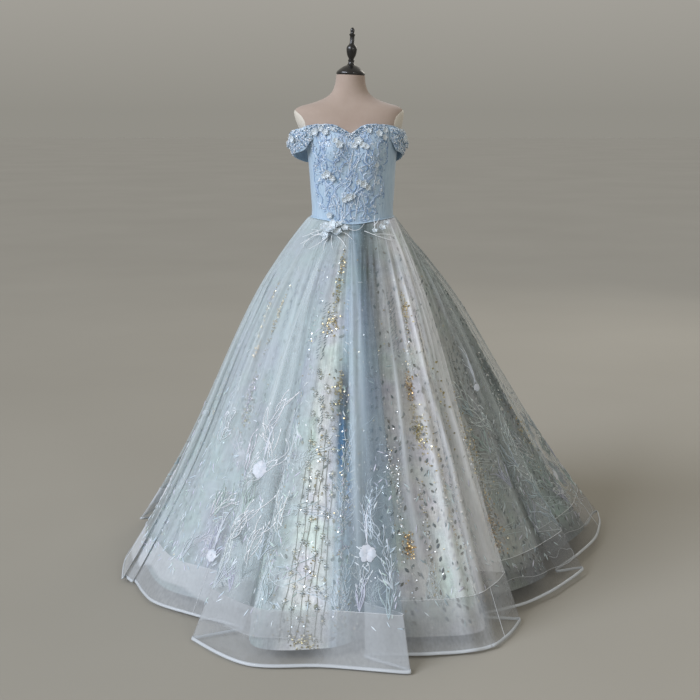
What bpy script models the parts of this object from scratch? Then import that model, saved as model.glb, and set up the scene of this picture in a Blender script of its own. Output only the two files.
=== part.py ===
"""Ball gown on a limbless dress form: the sewn pieces of cloth and the stand that holds them.

Metres, +Z up. The gown faces -Y, and +X is on the right as seen from in front. The origin is
the middle of the stand's underside. An azimuth is in degrees round Z, from the front (0)
through +X (90) to the back (180).
"""
import math
from collections import namedtuple

import bpy
from mathutils import Matrix, Vector

# ---- Walls and gaps ------------------------------------------------------------------
SEAM_GAP = 0.0003            # between two pieces that are sewn together
FORM_CLEARANCE = 0.003       # from the form's skin to the inside of the bodice
BODICE_WALL = 0.0015
ORGANZA_WALL = 0.0015
BAND_WALL = 0.0012
EDGE_WALL = 0.003
EDGE_GAP = 0.0006            # more at the braid, which is thicker than the band
TULLE_WALL = 0.001
SLEEVE_WALL = 0.0018

# ---- The form's body: oval sections ----------------------------------------------------
Section = namedtuple("Section", "z middle half_width front back square")
FORM_SECTIONS = (
    Section(0.860, 0.004, 0.146, 0.102, 0.112, 2.0),
    Section(0.960, 0.005, 0.170, 0.120, 0.138, 2.1),
    Section(1.060, 0.006, 0.152, 0.112, 0.116, 2.1),
    Section(1.157, 0.008, 0.130, 0.101, 0.094, 2.1),
    Section(1.250, 0.008, 0.133, 0.108, 0.100, 2.1),
    Section(1.340, 0.007, 0.139, 0.113, 0.108, 2.2),
    Section(1.400, 0.005, 0.148, 0.111, 0.110, 2.3),
    Section(1.445, 0.000, 0.166, 0.100, 0.104, 2.5),
    Section(1.480, -0.003, 0.175, 0.086, 0.095, 2.7),
    Section(1.500, -0.004, 0.174, 0.076, 0.086, 2.7),
    Section(1.512, -0.003, 0.156, 0.070, 0.078, 2.5),
    Section(1.524, -0.001, 0.112, 0.063, 0.070, 2.3),
    Section(1.545, 0.000, 0.069, 0.055, 0.058, 2.1),
    Section(1.575, 0.001, 0.051, 0.049, 0.050, 2.0),
    Section(1.609, 0.002, 0.046, 0.046, 0.046, 2.0),
)
BUST_AZIMUTH = 27
BUST_Z = 1.372
BUST_RISE = 0.018
BUST_SPREAD = 19             # degrees
BUST_HEIGHT = 0.055
FORM_COLUMNS = 28
FORM_RING_GAP = 0.030        # most height between two rings of the form
NECK_LEAN = math.radians(2.5)

# ---- The turned neck cap, finial, pole and base: (height, radius) from the top down ------
CAP_PROFILE = (
    (0.0300, 0.0), (0.0300, 0.0170), (0.0250, 0.0260), (0.0200, 0.0335), (0.0143, 0.0400),
    (0.0095, 0.0450), (0.0030, 0.0462), (0.0, 0.0450), (0.0, 0.0),
)
FINIAL_PROFILE = (
    (0.1475, 0.0), (0.1450, 0.0045), (0.1400, 0.0066), (0.1300, 0.0060), (0.1275, 0.0085),
    (0.1250, 0.0102), (0.1220, 0.0085), (0.1195, 0.0072), (0.0990, 0.0072), (0.0925, 0.0118),
    (0.0857, 0.0166), (0.0726, 0.0163), (0.0607, 0.0136), (0.0495, 0.0080), (0.0464, 0.0104),
    (0.0357, 0.0100), (0.0303, 0.0140), (0.0303, 0.0),
)
BASE_RADIUS = 0.190
BASE_PROFILE = (
    (0.0300, 0.0), (0.0300, 0.0200), (0.0140, 0.0260), (0.0120, BASE_RADIUS - 0.006),
    (0.0080, BASE_RADIUS), (0.0, BASE_RADIUS), (0.0, 0.0),
)
POLE_RADIUS = 0.0140
TURN_STEPS = 20

# ---- The bodice --------------------------------------------------------------------------
WAIST_Z = 1.157
WAIST_HALF_WIDTH = 0.130
WAIST_DIP = 0.016            # the seam drops to a soft point in front
WAIST_DIP_SPREAD = 42
NECKLINE = (                 # azimuth either side of the front, height of the top edge
    (0, 1.425), (10, 1.437), (24, 1.451), (48, 1.454), (68, 1.444), (90, 1.410),
    (120, 1.380), (180, 1.370),
)
Panel = namedtuple("Panel", "name start end columns")
BODICE_PANELS = (
    Panel("bodice_front", -64, 54, 22),
    Panel("bodice_side_right", 54, 112, 7),
    Panel("bodice_back_right", 112, 180, 6),
    Panel("bodice_back_left", 180, 248, 6),
    Panel("bodice_side_left", 248, 296, 6),
)
BODICE_ROWS = 13
LACE_HEIGHT = 0.0020         # the applique stands this far off the front panel
LACE_PITCH_X = 0.034
LACE_PITCH_Z = 0.040
LACE_RADIUS = 0.016

# ---- Off-shoulder sleeve bands -----------------------------------------------------------
Sleeve = namedtuple("Sleeve", "name side bulge tuck")     # tuck: how far the top is drawn in
SLEEVES = (Sleeve("sleeve_left", -1, 0.040, 0.020), Sleeve("sleeve_right", 1, 0.013, 0.010))
SLEEVE_FRONT = 56            # azimuths where the band meets the bodice
SLEEVE_BACK = 124
SLEEVE_REST = 0.0026         # gap from the bodice to the band's ends
SLEEVE_HEIGHT = 0.072
SLEEVE_MIDDLE = ((0.0, 1.412), (0.25, 1.402), (0.5, 1.389), (0.75, 1.372), (1.0, 1.350))
SLEEVE_PUFF = 0.006
SLEEVE_COLUMNS = 14
SLEEVE_ROWS = 5

# ---- The skirt: the hem's lobes in plan, anticlockwise from above --------------------------
# A lobe is one broad billow of the hem, between two deep folds. start and end are azimuths of
# its edges at the hem, and the r columns the distance from the axis along it. Neighbours
# overlap where one fold lies in front of the other. waist_end is where its end edge starts at
# the waist, and lift is the hem's height above the floor.
Lobe = namedtuple("Lobe", "name start end r_start r_early r_late r_end waist_end lift")
LOBES = (
    Lobe("front", -31, 9, 0.865, 0.930, 0.900, 0.945, 4, 0.006),
    Lobe("front_right", 4, 39, 0.835, 0.862, 0.880, 0.800, 75, 0.008),
    Lobe("right_front", 34, 72, 0.715, 0.745, 0.768, 0.805, 104, 0.018),
    Lobe("right", 68, 106, 0.730, 0.790, 0.880, 0.965, 128, 0.028),
    Lobe("right_back", 100, 137, 0.850, 0.880, 0.890, 0.920, 152, 0.030),
    Lobe("back_right", 131, 168, 0.810, 0.845, 0.850, 0.880, 176, 0.022),
    Lobe("back", 162, 199, 0.790, 0.830, 0.835, 0.865, 200, 0.016),
    Lobe("back_left", 193, 229, 0.780, 0.815, 0.820, 0.845, 224, 0.020),
    Lobe("left_back", 223, 254, 0.760, 0.790, 0.795, 0.800, 249, 0.028),
    Lobe("left", 249, 292, 0.735, 0.730, 0.768, 0.798, 279, 0.014),
    Lobe("left_front", 295, 334, 0.766, 0.777, 0.745, 0.735, 326, 0.010),
)
SEAM_LOBES = (1, 3, 5, 7, 9)     # the gores are sewn together along these lobes
FOLD_ROUND = 0.025               # how far a fold's edge turns back, or less on a shallow fold
FOLD_ROUND_SHARE = 0.3           # of the fold's depth
FOLD_SHARE = 0.30                # of the waist between two lobes' ends, taken up by a fold
COLUMNS_PER_POINT = 2
GATHER_RATIO = 0.42              # gather depth over the spacing of the columns
GATHER_MOST = 0.0034
GATHER_END = 0.40                # level at which the gathers have opened out
WAIST_OUT = 0.0105               # the organza's seat at the waist, off the form's skin
TULLE_WAIST_OUT = 0.0045
TULLE_DROP = 0.003               # its top edge, below the waist seam
TULLE_INSET = 0.028              # the tulle hangs this far inside the organza's hem
HIP_BULGE = 0.66                 # the outline's fullness below the waist
KNEE_HOLLOW = 0.125              # and how far it falls in again lower down
KNEE_HOLLOW_LEFT = 0.045
BAND_LEVEL = 0.890               # levels run from 0 at the waist to 1 at the hem
EDGE_LEVEL = 0.9935
LEVEL_STEP = 0.01                # between the points that a slope is measured from
SKIRT_LEVELS = (0, 0.03, 0.09, 0.19, 0.34, 0.52, 0.71, BAND_LEVEL)
TULLE_LEVELS = (0, 0.05, 0.15, 0.35, 0.65, 0.972)

# ---- Flowers of folded organza sewn on top -------------------------------------------------
Flower = namedtuple("Flower", "name azimuth z radius turn")
BODICE_FLOWERS = (
    Flower("flower_neck_1", -50, 1.432, 0.013, 10),
    Flower("flower_neck_2", -36, 1.430, 0.011, 40),
    Flower("flower_neck_3", -17, 1.392, 0.012, 25),
    Flower("flower_neck_4", 10, 1.404, 0.014, 5),
    Flower("flower_neck_5", 40, 1.426, 0.012, 15),
    Flower("flower_front_1", -36, 1.302, 0.014, 30),
    Flower("flower_front_2", 17, 1.270, 0.013, 0),
    Flower("flower_front_3", -6, 1.228, 0.013, 45),
)
SleeveFlower = namedtuple("SleeveFlower", "name sleeve along up radius turn")
SLEEVE_FLOWERS = (
    SleeveFlower("flower_sleeve_left_1", 0, 0.26, 0.62, 0.013, 15),
    SleeveFlower("flower_sleeve_left_2", 0, 0.56, 0.55, 0.014, 40),
    SleeveFlower("flower_sleeve_right_1", 1, 0.26, 0.62, 0.013, 30),
    SleeveFlower("flower_sleeve_right_2", 1, 0.56, 0.55, 0.014, 5),
)
WAIST_FLOWERS = (
    Flower("flower_waist_1", -27, 1.124, 0.024, 12),
    Flower("flower_waist_2", 44, 1.126, 0.012, 33),
)
PETALS = 5
PETAL_COLUMNS = 2
PETAL_WALL = 0.0012
PETAL_DIP = 0.66             # reach of the dips between petals, over the flower's radius
FLOWER_DOME = 0.28           # height of its middle, over the radius
CupRing = namedtuple("CupRing", "reach top under")       # each over the radius
FLOWER_CUP = (CupRing(0.40, 0.10, 0.0), CupRing(1.0, 0.42, 0.30))
FLOWER_SEAT = 0.0032         # above the panel, so that a flower clears the lace
SLEEVE_FLOWER_SEAT = 0.0015
SKIRT_FLOWER_SEAT = 0.006


# ---- Small tools ---------------------------------------------------------------------------
def clear_scene():
    for old in list(bpy.data.objects):
        bpy.data.objects.remove(old, do_unlink=True)


def direction(azimuth):
    angle = math.radians(azimuth)
    return Vector((math.sin(angle), -math.cos(angle), 0))


def smooth(rows, x):
    """Values at x on a smooth curve through rows, whose first column is x."""
    last = len(rows) - 1
    if x <= rows[0][0]:
        return rows[0][1:]
    if x >= rows[last][0]:
        return rows[last][1:]
    i = next(k for k in range(last) if x < rows[k + 1][0])
    step = rows[i + 1][0] - rows[i][0]
    t = (x - rows[i][0]) / step

    def slope(k, column):
        before, after = max(k - 1, 0), min(k + 1, last)
        return (rows[after][column] - rows[before][column]) / (rows[after][0] - rows[before][0])

    return [
        (2 * t**3 - 3 * t**2 + 1) * rows[i][column]
        + (t**3 - 2 * t**2 + t) * step * slope(i, column)
        + (3 * t**2 - 2 * t**3) * rows[i + 1][column]
        + (t**3 - t**2) * step * slope(i + 1, column)
        for column in range(1, len(rows[0]))
    ]


def bell(x, spread):
    return math.exp(-(x / spread) ** 2)


def turned_back(azimuth):
    """The same azimuth between -180 and 180."""
    return (azimuth + 180) % 360 - 180


def finish(name, colour, roughness, metallic=0.0):
    material = bpy.data.materials.new(name)
    material.use_nodes = True
    surface = material.node_tree.nodes["Principled BSDF"]
    surface.inputs["Base Color"].default_value = (*colour, 1)
    surface.inputs["Roughness"].default_value = roughness
    surface.inputs["Metallic"].default_value = metallic
    return material


def new_object(name, vertices, faces, material, collection):
    mesh = bpy.data.meshes.new(name)
    mesh.from_pydata([tuple(v) for v in vertices], [], faces)
    mesh.materials.append(material)
    mesh.shade_smooth()
    mesh.set_sharp_from_angle(angle=math.radians(40))
    made = bpy.data.objects.new(name, mesh)
    collection.objects.link(made)
    return made


def wall(name, outer, inner, material, collection):
    """A closed wall between two grids of points, rows going down and columns anticlockwise."""
    rows, columns = len(outer), len(outer[0])
    vertices = [p for row in outer for p in row] + [p for row in inner for p in row]

    def out(row, column):
        return row * columns + column

    def inside(row, column):
        return (rows + row) * columns + column

    faces = []
    for r in range(rows - 1):
        for c in range(columns - 1):
            faces.append((out(r, c), out(r + 1, c), out(r + 1, c + 1), out(r, c + 1)))
            faces.append((inside(r, c), inside(r, c + 1), inside(r + 1, c + 1), inside(r + 1, c)))
        end = columns - 1
        faces.append((out(r, 0), inside(r, 0), inside(r + 1, 0), out(r + 1, 0)))
        faces.append((out(r, end), out(r + 1, end), inside(r + 1, end), inside(r, end)))
    low = rows - 1
    for c in range(columns - 1):
        faces.append((out(0, c), out(0, c + 1), inside(0, c + 1), inside(0, c)))
        faces.append((out(low, c), inside(low, c), inside(low, c + 1), out(low, c + 1)))
    return new_object(name, vertices, faces, material, collection)


def trim(grid, left=0.0, right=0.0, top=0.0, bottom=0.0):
    """Moves a grid's edges in, along the cloth, so that sewn pieces stand a gap apart."""
    for row in grid:
        row[0] = row[0] + (row[1] - row[0]).normalized() * left
        row[-1] = row[-1] + (row[-2] - row[-1]).normalized() * right
    for c in range(len(grid[0])):
        grid[0][c] = grid[0][c] + (grid[1][c] - grid[0][c]).normalized() * top
        grid[-1][c] = grid[-1][c] + (grid[-2][c] - grid[-1][c]).normalized() * bottom
    return grid


def turned(name, profile, place, material, collection):
    """A solid of revolution from (height, radius) points, from the top down."""
    mesh = bpy.data.meshes.new(name)
    points = [(radius, 0, height) for height, radius in profile]
    mesh.from_pydata(points, [(i, i + 1) for i in range(len(points) - 1)], [])
    mesh.materials.append(material)
    made = bpy.data.objects.new(name, mesh)
    collection.objects.link(made)
    made.matrix_world = place
    screw = made.modifiers.new("turn", "SCREW")
    screw.steps = TURN_STEPS
    screw.render_steps = TURN_STEPS
    screw.use_merge_vertices = True
    screw.merge_threshold = 0.00001
    return made


# ---- The form ------------------------------------------------------------------------------
def body_point(azimuth, z, out=0.0):
    """A point at height z, out from the form's skin."""
    middle, half_width, front, back, square = smooth(FORM_SECTIONS, z)
    way = direction(azimuth)
    depth = front if way.y < 0 else back
    radius = (abs(way.x / half_width) ** square + abs(way.y / depth) ** square) ** (-1 / square)
    for side in (-1, 1):
        off = turned_back(azimuth - side * BUST_AZIMUTH)
        radius += BUST_RISE * bell(off, BUST_SPREAD) * bell(z - BUST_Z, BUST_HEIGHT)
    return Vector((middle, 0, z)) + way * (radius + out)


def neck_frame():
    """Place of the neck's flat top, which leans a little to the right."""
    top = FORM_SECTIONS[-1]
    return Matrix.Translation((top.middle, 0, top.z)) @ Matrix.Rotation(NECK_LEAN, 4, "Y")


def form_body(material, collection):
    steps = [360 * c / FORM_COLUMNS for c in range(FORM_COLUMNS)]
    heights = [FORM_SECTIONS[0].z]
    for below, above in zip(FORM_SECTIONS, FORM_SECTIONS[1:]):
        gap = FORM_RING_GAP if above.z > WAIST_Z else above.z - below.z
        count = math.ceil((above.z - below.z) / gap)
        heights += [below.z + (above.z - below.z) * k / count for k in range(1, count + 1)]
    rings = [[body_point(a, z) for a in steps] for z in heights]
    top = FORM_SECTIONS[-1]
    rings[-1] = [neck_frame() @ (direction(a) * top.half_width) for a in steps]
    vertices = [p for ring in rings for p in ring]
    faces = []
    for r in range(len(rings) - 1):
        for c in range(FORM_COLUMNS):
            d = (c + 1) % FORM_COLUMNS
            low, high = r * FORM_COLUMNS, (r + 1) * FORM_COLUMNS
            faces.append((low + c, low + d, high + d, high + c))
    faces.append(tuple(reversed(range(FORM_COLUMNS))))
    faces.append(tuple(range(len(vertices) - FORM_COLUMNS, len(vertices))))
    return new_object("form_body", vertices, faces, material, collection)


def stand(body_material, black, collection):
    form_body(body_material, collection)
    up = Matrix.Translation((0, 0, SEAM_GAP))
    turned("neck_cap", CAP_PROFILE, neck_frame() @ up, black, collection)
    turned("finial", FINIAL_PROFILE, neck_frame() @ up @ up, black, collection)
    turned("stand_base", BASE_PROFILE, Matrix.Identity(4), black, collection)
    low, high = BASE_PROFILE[0][0] + SEAM_GAP, FORM_SECTIONS[0].z - SEAM_GAP
    pole = ((high, 0), (high, POLE_RADIUS), (low, POLE_RADIUS), (low, 0))
    turned("stand_pole", pole, Matrix.Identity(4), black, collection)


# ---- The bodice and sleeves ----------------------------------------------------------------
def waist_z(azimuth):
    return WAIST_Z - WAIST_DIP * bell(turned_back(azimuth), WAIST_DIP_SPREAD)


def neckline_z(azimuth):
    return smooth(NECKLINE, abs(turned_back(azimuth)))[0]


def lace_rise(azimuth, z):
    """How far the applique's flower heads, set in staggered rows, stand off the panel."""
    across = math.radians(azimuth) * WAIST_HALF_WIDTH
    row = round((z - WAIST_Z) / LACE_PITCH_Z)
    shift = LACE_PITCH_X / 2 * (row % 2)
    column = round((across - shift) / LACE_PITCH_X)
    away = math.hypot(across - shift - column * LACE_PITCH_X,
                      z - WAIST_Z - row * LACE_PITCH_Z)
    return LACE_HEIGHT * max(0.0, 1 - (away / LACE_RADIUS) ** 2)


def bodice_panel(panel, material, collection):
    raised = panel.name == "bodice_front"
    outer, inner = [], []
    for r in range(BODICE_ROWS + 1):
        down = r / BODICE_ROWS
        outer_row, inner_row = [], []
        for c in range(panel.columns + 1):
            azimuth = panel.start + (panel.end - panel.start) * c / panel.columns
            top, low = neckline_z(azimuth), waist_z(azimuth) + SEAM_GAP
            z = top + (low - top) * down
            at_edge = r in (0, BODICE_ROWS) or c in (0, panel.columns)
            rise = lace_rise(azimuth, z) if raised and not at_edge else 0.0
            inner_row.append(body_point(azimuth, z, FORM_CLEARANCE))
            outer_row.append(body_point(azimuth, z, FORM_CLEARANCE + BODICE_WALL + rise))
        outer.append(outer_row)
        inner.append(inner_row)
    half = SEAM_GAP / 2
    wall(panel.name, trim(outer, half, half), trim(inner, half, half), material, collection)


def sleeve_point(sleeve, along, up, out=0.0):
    """A point on the band: along it from front to back, and up its height, both 0 to 1."""
    azimuth = sleeve.side * (SLEEVE_FRONT + (SLEEVE_BACK - SLEEVE_FRONT) * along)
    z = smooth(SLEEVE_MIDDLE, along)[0] + (up - 0.5) * SLEEVE_HEIGHT
    seat = FORM_CLEARANCE + BODICE_WALL + LACE_HEIGHT + SLEEVE_REST
    spread = math.sin(math.pi * along)
    puff = SLEEVE_PUFF * math.sin(math.pi * up) * spread
    tuck = sleeve.tuck * max(0.0, 2 * up - 1) ** 2 * spread
    return body_point(azimuth, z, seat + sleeve.bulge * spread + puff - tuck + out)


def sleeve_band(sleeve, material, collection):
    grids = []
    for out in (SLEEVE_WALL, 0.0):
        grid = []
        for r in range(SLEEVE_ROWS + 1):
            steps = range(SLEEVE_COLUMNS + 1)
            if sleeve.side < 0:
                steps = reversed(steps)
            up = 1 - r / SLEEVE_ROWS
            grid.append([sleeve_point(sleeve, c / SLEEVE_COLUMNS, up, out) for c in steps])
        grids.append(grid)
    wall(sleeve.name, grids[0], grids[1], material, collection)


# ---- The skirt -----------------------------------------------------------------------------
Point = namedtuple("Point", "hem waist")     # plan point with the hem's height, waist azimuth


def hem_point(azimuth, radius, lift):
    return direction(azimuth) * radius + Vector((0, 0, lift))


def fold_turn(depth):
    """How far an edge turns towards the layer that a fold leads to."""
    return max(-FOLD_ROUND, min(FOLD_ROUND, depth * FOLD_ROUND_SHARE))


def organza_points():
    """Six points a lobe: each edge with its turn, and two along the billow."""
    points = []
    for i, lobe in enumerate(LOBES):
        before, after = LOBES[i - 1], LOBES[(i + 1) % len(LOBES)]
        waist_before = before.waist_end if i else before.waist_end - 360
        waist_start = waist_before + FOLD_SHARE * (lobe.waist_end - waist_before)
        waist_after = after.waist_end + (0 if i < len(LOBES) - 1 else 360)
        third = (lobe.end - lobe.start) / 3
        into = fold_turn(before.r_end - lobe.r_start)
        away = fold_turn(after.r_start - lobe.r_end)
        fold_before = (waist_start - waist_before) / 3
        fold_after = FOLD_SHARE * (waist_after - lobe.waist_end) / 3
        panel = (lobe.waist_end - waist_start) / 3
        for azimuth, radius, waist in (
            (lobe.start, lobe.r_start + into, waist_start - fold_before),
            (lobe.start, lobe.r_start, waist_start),
            (lobe.start + third, lobe.r_early, waist_start + panel),
            (lobe.end - third, lobe.r_late, lobe.waist_end - panel),
            (lobe.end, lobe.r_end, lobe.waist_end),
            (lobe.end, lobe.r_end + away, lobe.waist_end + fold_after),
        ):
            points.append(Point(hem_point(azimuth, radius, lobe.lift), waist))
    return points


def tulle_points():
    """Three points a lobe: inside the hidden corner of each fold, and behind each billow."""
    outer = organza_points()
    points = []
    for i, lobe in enumerate(LOBES):
        first = 6 * i
        before = LOBES[i - 1]
        if before.r_end > lobe.r_start:
            hidden = first + 1
        else:
            hidden = first - 2
        for index in (hidden, first + 2, first + 3):
            point = outer[index]
            waist = point.waist - 360 if i == 0 and index < 0 else point.waist
            radius = math.hypot(point.hem.x, point.hem.y)
            inward = 1 - TULLE_INSET / radius
            hem = Vector((point.hem.x * inward, point.hem.y * inward, point.hem.z))
            points.append(Point(hem, waist))
    return points


def spline(before, start, end, after, t):
    """Catmull-Rom curve from start to end, for numbers and vectors alike."""
    return 0.5 * (2 * start + (end - before) * t
                  + (2 * before - 5 * start + 4 * end - after) * t * t
                  + (3 * start - before - 3 * end + after) * t**3)


class SkirtLayer:
    """One layer of the skirt: columns from the waist to the hem, round the whole figure."""

    def __init__(self, points, waist_out, drop, gathered):
        self.columns = len(points) * COLUMNS_PER_POINT
        self.waist_out = waist_out
        self.drop = drop
        self.gathered = gathered
        self.hem, self.waist = [], []
        for column in range(self.columns):
            i, part = divmod(column, COLUMNS_PER_POINT)
            near = [points[(i + k) % len(points)] for k in (-1, 0, 1, 2)]
            t = part / COLUMNS_PER_POINT
            self.hem.append(spline(*(p.hem for p in near), t))
            turn = turned_back(near[2].waist - near[1].waist)
            self.waist.append(near[1].waist + turn * t)

    def gather(self, column, level):
        """Every second column stands out at the waist, and the rest sink in."""
        if not self.gathered or level >= GATHER_END:
            return 0.0
        gap = turned_back(self.waist[(column + 1) % self.columns] - self.waist[column - 1]) / 2
        spacing = math.radians(gap) * WAIST_HALF_WIDTH
        depth = min(GATHER_RATIO * spacing, GATHER_MOST) * (1 - level / GATHER_END) ** 2
        return depth if column % 2 else -depth

    def point(self, column, level):
        column %= self.columns
        azimuth = self.waist[column]
        top = body_point(azimuth, waist_z(azimuth) - self.drop,
                         self.waist_out + self.gather(column, level))
        low = self.hem[column]
        side = low.x / math.hypot(low.x, low.y)
        hollow = KNEE_HOLLOW - KNEE_HOLLOW_LEFT * side
        reach = (level + HIP_BULGE * level * (1 - level) ** 3
                 - hollow * level**2 * (1 - level))
        return Vector((top.x + (low.x - top.x) * reach, top.y + (low.y - top.y) * reach,
                       top.z + (low.z - top.z) * level))

    def normal(self, column, level):
        low, high = max(level - LEVEL_STEP, 0.0), min(level + LEVEL_STEP, 1.0)
        down = self.point(column, high) - self.point(column, low)
        along = self.point(column + 1, level) - self.point(column - 1, level)
        return down.cross(along).normalized()

    def wall(self, name, first, last, levels, thickness, trims, material, collection):
        grids = []
        for out in (thickness / 2, -thickness / 2):
            grid = [[self.point(c, level) + self.normal(c, level) * out
                     for c in range(first, last + 1)] for level in levels]
            grids.append(trim(grid, SEAM_GAP / 2, SEAM_GAP / 2, *trims))
        wall(name, grids[0], grids[1], material, collection)


def gores(points_a_lobe, seam_point):
    """First and last column of each gore, between the seams."""
    seams = [(points_a_lobe * lobe + seam_point) * COLUMNS_PER_POINT for lobe in SEAM_LOBES]
    around = points_a_lobe * len(LOBES) * COLUMNS_PER_POINT
    return list(zip(seams, seams[1:] + [seams[0] + around]))


def skirt(organza, band, edge, tulle, collection):
    layer = SkirtLayer(organza_points(), WAIST_OUT, 0.0, gathered=True)
    half = SEAM_GAP / 2
    for number, (first, last) in enumerate(gores(6, 3), 1):
        for name, levels, thickness, trims, material in (
            (f"skirt_gore_{number}", SKIRT_LEVELS, ORGANZA_WALL, (half, half), organza),
            (f"hem_band_{number}", (BAND_LEVEL, EDGE_LEVEL), BAND_WALL, (half, half), band),
            (f"hem_edge_{number}", (EDGE_LEVEL, 1.0), EDGE_WALL, (EDGE_GAP, 0.0), edge),
        ):
            layer.wall(name, first, last, levels, thickness, trims, material, collection)
    under = SkirtLayer(tulle_points(), TULLE_WAIST_OUT, TULLE_DROP, gathered=False)
    for number, (first, last) in enumerate(gores(3, 2), 1):
        under.wall(f"tulle_gore_{number}", first, last, TULLE_LEVELS, TULLE_WALL, (half, 0.0),
                   tulle, collection)
    return layer


# ---- Flowers -------------------------------------------------------------------------------
def flower(name, seat, normal, radius, turn, material, collection):
    """A shallow cup of five petals, its underside flat against the seat's plane."""
    place = (Matrix.Translation(seat) @ normal.to_track_quat("Z", "Y").to_matrix().to_4x4()
             @ Matrix.Rotation(math.radians(turn), 4, "Z"))
    columns = PETALS * PETAL_COLUMNS
    vertices = [Vector((0, 0, FLOWER_DOME * radius + PETAL_WALL)), Vector((0, 0, 0))]
    for side in ("top", "under"):
        for ring in FLOWER_CUP:
            for c in range(columns):
                in_dip = ring is FLOWER_CUP[-1] and c % PETAL_COLUMNS == 0
                far = radius * ring.reach * (PETAL_DIP if in_dip else 1.0)
                height = radius * ring.top + PETAL_WALL if side == "top" else radius * ring.under
                angle = 2 * math.pi * c / columns
                vertices.append(Vector((far * math.cos(angle), far * math.sin(angle), height)))
    near, tip, under_near, under_tip = (2 + columns * k for k in range(4))
    faces = []
    for c in range(columns):
        d = (c + 1) % columns
        faces.append((0, near + c, near + d))
        faces.append((near + c, tip + c, tip + d, near + d))
        faces.append((1, under_near + d, under_near + c))
        faces.append((under_near + c, under_near + d, under_tip + d, under_tip + c))
        faces.append((tip + c, under_tip + c, under_tip + d, tip + d))
    new_object(name, [place @ v for v in vertices], faces, material, collection)


def flowers(layer, material, collection):
    for f in BODICE_FLOWERS:
        seat = body_point(f.azimuth, f.z, FORM_CLEARANCE + BODICE_WALL + FLOWER_SEAT)
        across = body_point(f.azimuth + 4, f.z) - body_point(f.azimuth - 4, f.z)
        up = body_point(f.azimuth, f.z + 0.01) - body_point(f.azimuth, f.z - 0.01)
        flower(f.name, seat, across.cross(up).normalized(), f.radius, f.turn, material,
               collection)
    for f in SLEEVE_FLOWERS:
        sleeve = SLEEVES[f.sleeve]
        seat = sleeve_point(sleeve, f.along, f.up, SLEEVE_WALL)
        across = (sleeve_point(sleeve, f.along + 0.05, f.up)
                  - sleeve_point(sleeve, f.along - 0.05, f.up)) * sleeve.side
        up = sleeve_point(sleeve, f.along, f.up + 0.1) - sleeve_point(sleeve, f.along, f.up - 0.1)
        normal = across.cross(up).normalized()
        flower(f.name, seat + normal * SLEEVE_FLOWER_SEAT, normal, f.radius, f.turn, material,
               collection)
    for f in WAIST_FLOWERS:
        column = min(range(layer.columns), key=lambda c: abs(layer.waist[c] - f.azimuth))
        level = (waist_z(f.azimuth) - f.z) / waist_z(f.azimuth)
        normal = layer.normal(column, level)
        seat = layer.point(column, level) + normal * SKIRT_FLOWER_SEAT
        flower(f.name, seat, normal, f.radius, f.turn, material, collection)


def build():
    clear_scene()
    gown = bpy.data.collections.new("ball_gown_on_dress_form")
    bpy.context.scene.collection.children.link(gown)
    organza = finish("pale blue organza", (0.46, 0.60, 0.66), 0.55)
    band = finish("white organza band", (0.70, 0.74, 0.76), 0.55)
    edge = finish("horsehair braid", (0.82, 0.84, 0.86), 0.5)
    tulle = finish("embroidered glitter tulle", (0.52, 0.58, 0.62), 0.6)
    satin = finish("ice blue satin", (0.42, 0.55, 0.74), 0.5)
    lace = finish("vine lace on satin", (0.50, 0.62, 0.80), 0.55)
    petal = finish("folded organza flower", (0.68, 0.78, 0.88), 0.5)
    jersey = finish("form's jersey cover", (0.60, 0.52, 0.45), 0.7)
    black = finish("black painted wood", (0.012, 0.010, 0.010), 0.35)
    stand(jersey, black, gown)
    for panel in BODICE_PANELS:
        bodice_panel(panel, lace if panel.name == "bodice_front" else satin, gown)
    for sleeve in SLEEVES:
        sleeve_band(sleeve, lace, gown)
    layer = skirt(organza, band, edge, tulle, gown)
    flowers(layer, petal, gown)


build()
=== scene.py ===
"""Off-shoulder ball gown on a limbless dress form, dressed for a picture.

Metres, +Z up. The gown faces -Y. It is put together as in a workroom: the form, the bodice, the
embroidered underskirt, the sheer overskirt and its hem, and then the lace, beads and flowers.
"""
import math

import bpy
import numpy as np
from mathutils import Matrix, Vector


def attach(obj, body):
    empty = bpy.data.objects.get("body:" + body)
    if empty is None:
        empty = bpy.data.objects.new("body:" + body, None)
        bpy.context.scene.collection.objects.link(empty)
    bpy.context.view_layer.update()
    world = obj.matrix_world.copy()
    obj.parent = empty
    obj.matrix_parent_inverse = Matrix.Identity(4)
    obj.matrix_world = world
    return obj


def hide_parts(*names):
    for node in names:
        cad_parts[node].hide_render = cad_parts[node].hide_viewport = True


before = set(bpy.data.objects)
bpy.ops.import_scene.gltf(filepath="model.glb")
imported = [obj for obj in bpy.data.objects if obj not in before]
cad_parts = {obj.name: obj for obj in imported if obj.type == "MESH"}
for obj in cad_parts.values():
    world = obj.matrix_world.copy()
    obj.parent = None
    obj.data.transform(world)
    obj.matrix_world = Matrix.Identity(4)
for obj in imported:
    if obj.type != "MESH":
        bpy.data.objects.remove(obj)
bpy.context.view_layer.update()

# ---- Camera, floor and light ---------------------------------------------------------------
# A plain pale floor, cool soft daylight from high on the left and a grey room all round. The
# camera stands 3.8 m in front of the gown at eye height and looks down on the skirt.
CAMERA_PLACE, CAMERA_DOWN, LENS_MM = (0, -3.80, 1.50), 11.8, 59.14
bpy.ops.object.select_all(action="DESELECT")
bpy.ops.object.camera_add(location=CAMERA_PLACE, rotation=(math.radians(90 - CAMERA_DOWN), 0, 0))
camera = bpy.context.object
camera.name = "studio_camera"
camera.data.sensor_width = 36
camera.data.lens = LENS_MM
bpy.context.scene.camera = camera
bpy.context.scene.view_settings.view_transform = "Standard"


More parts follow.
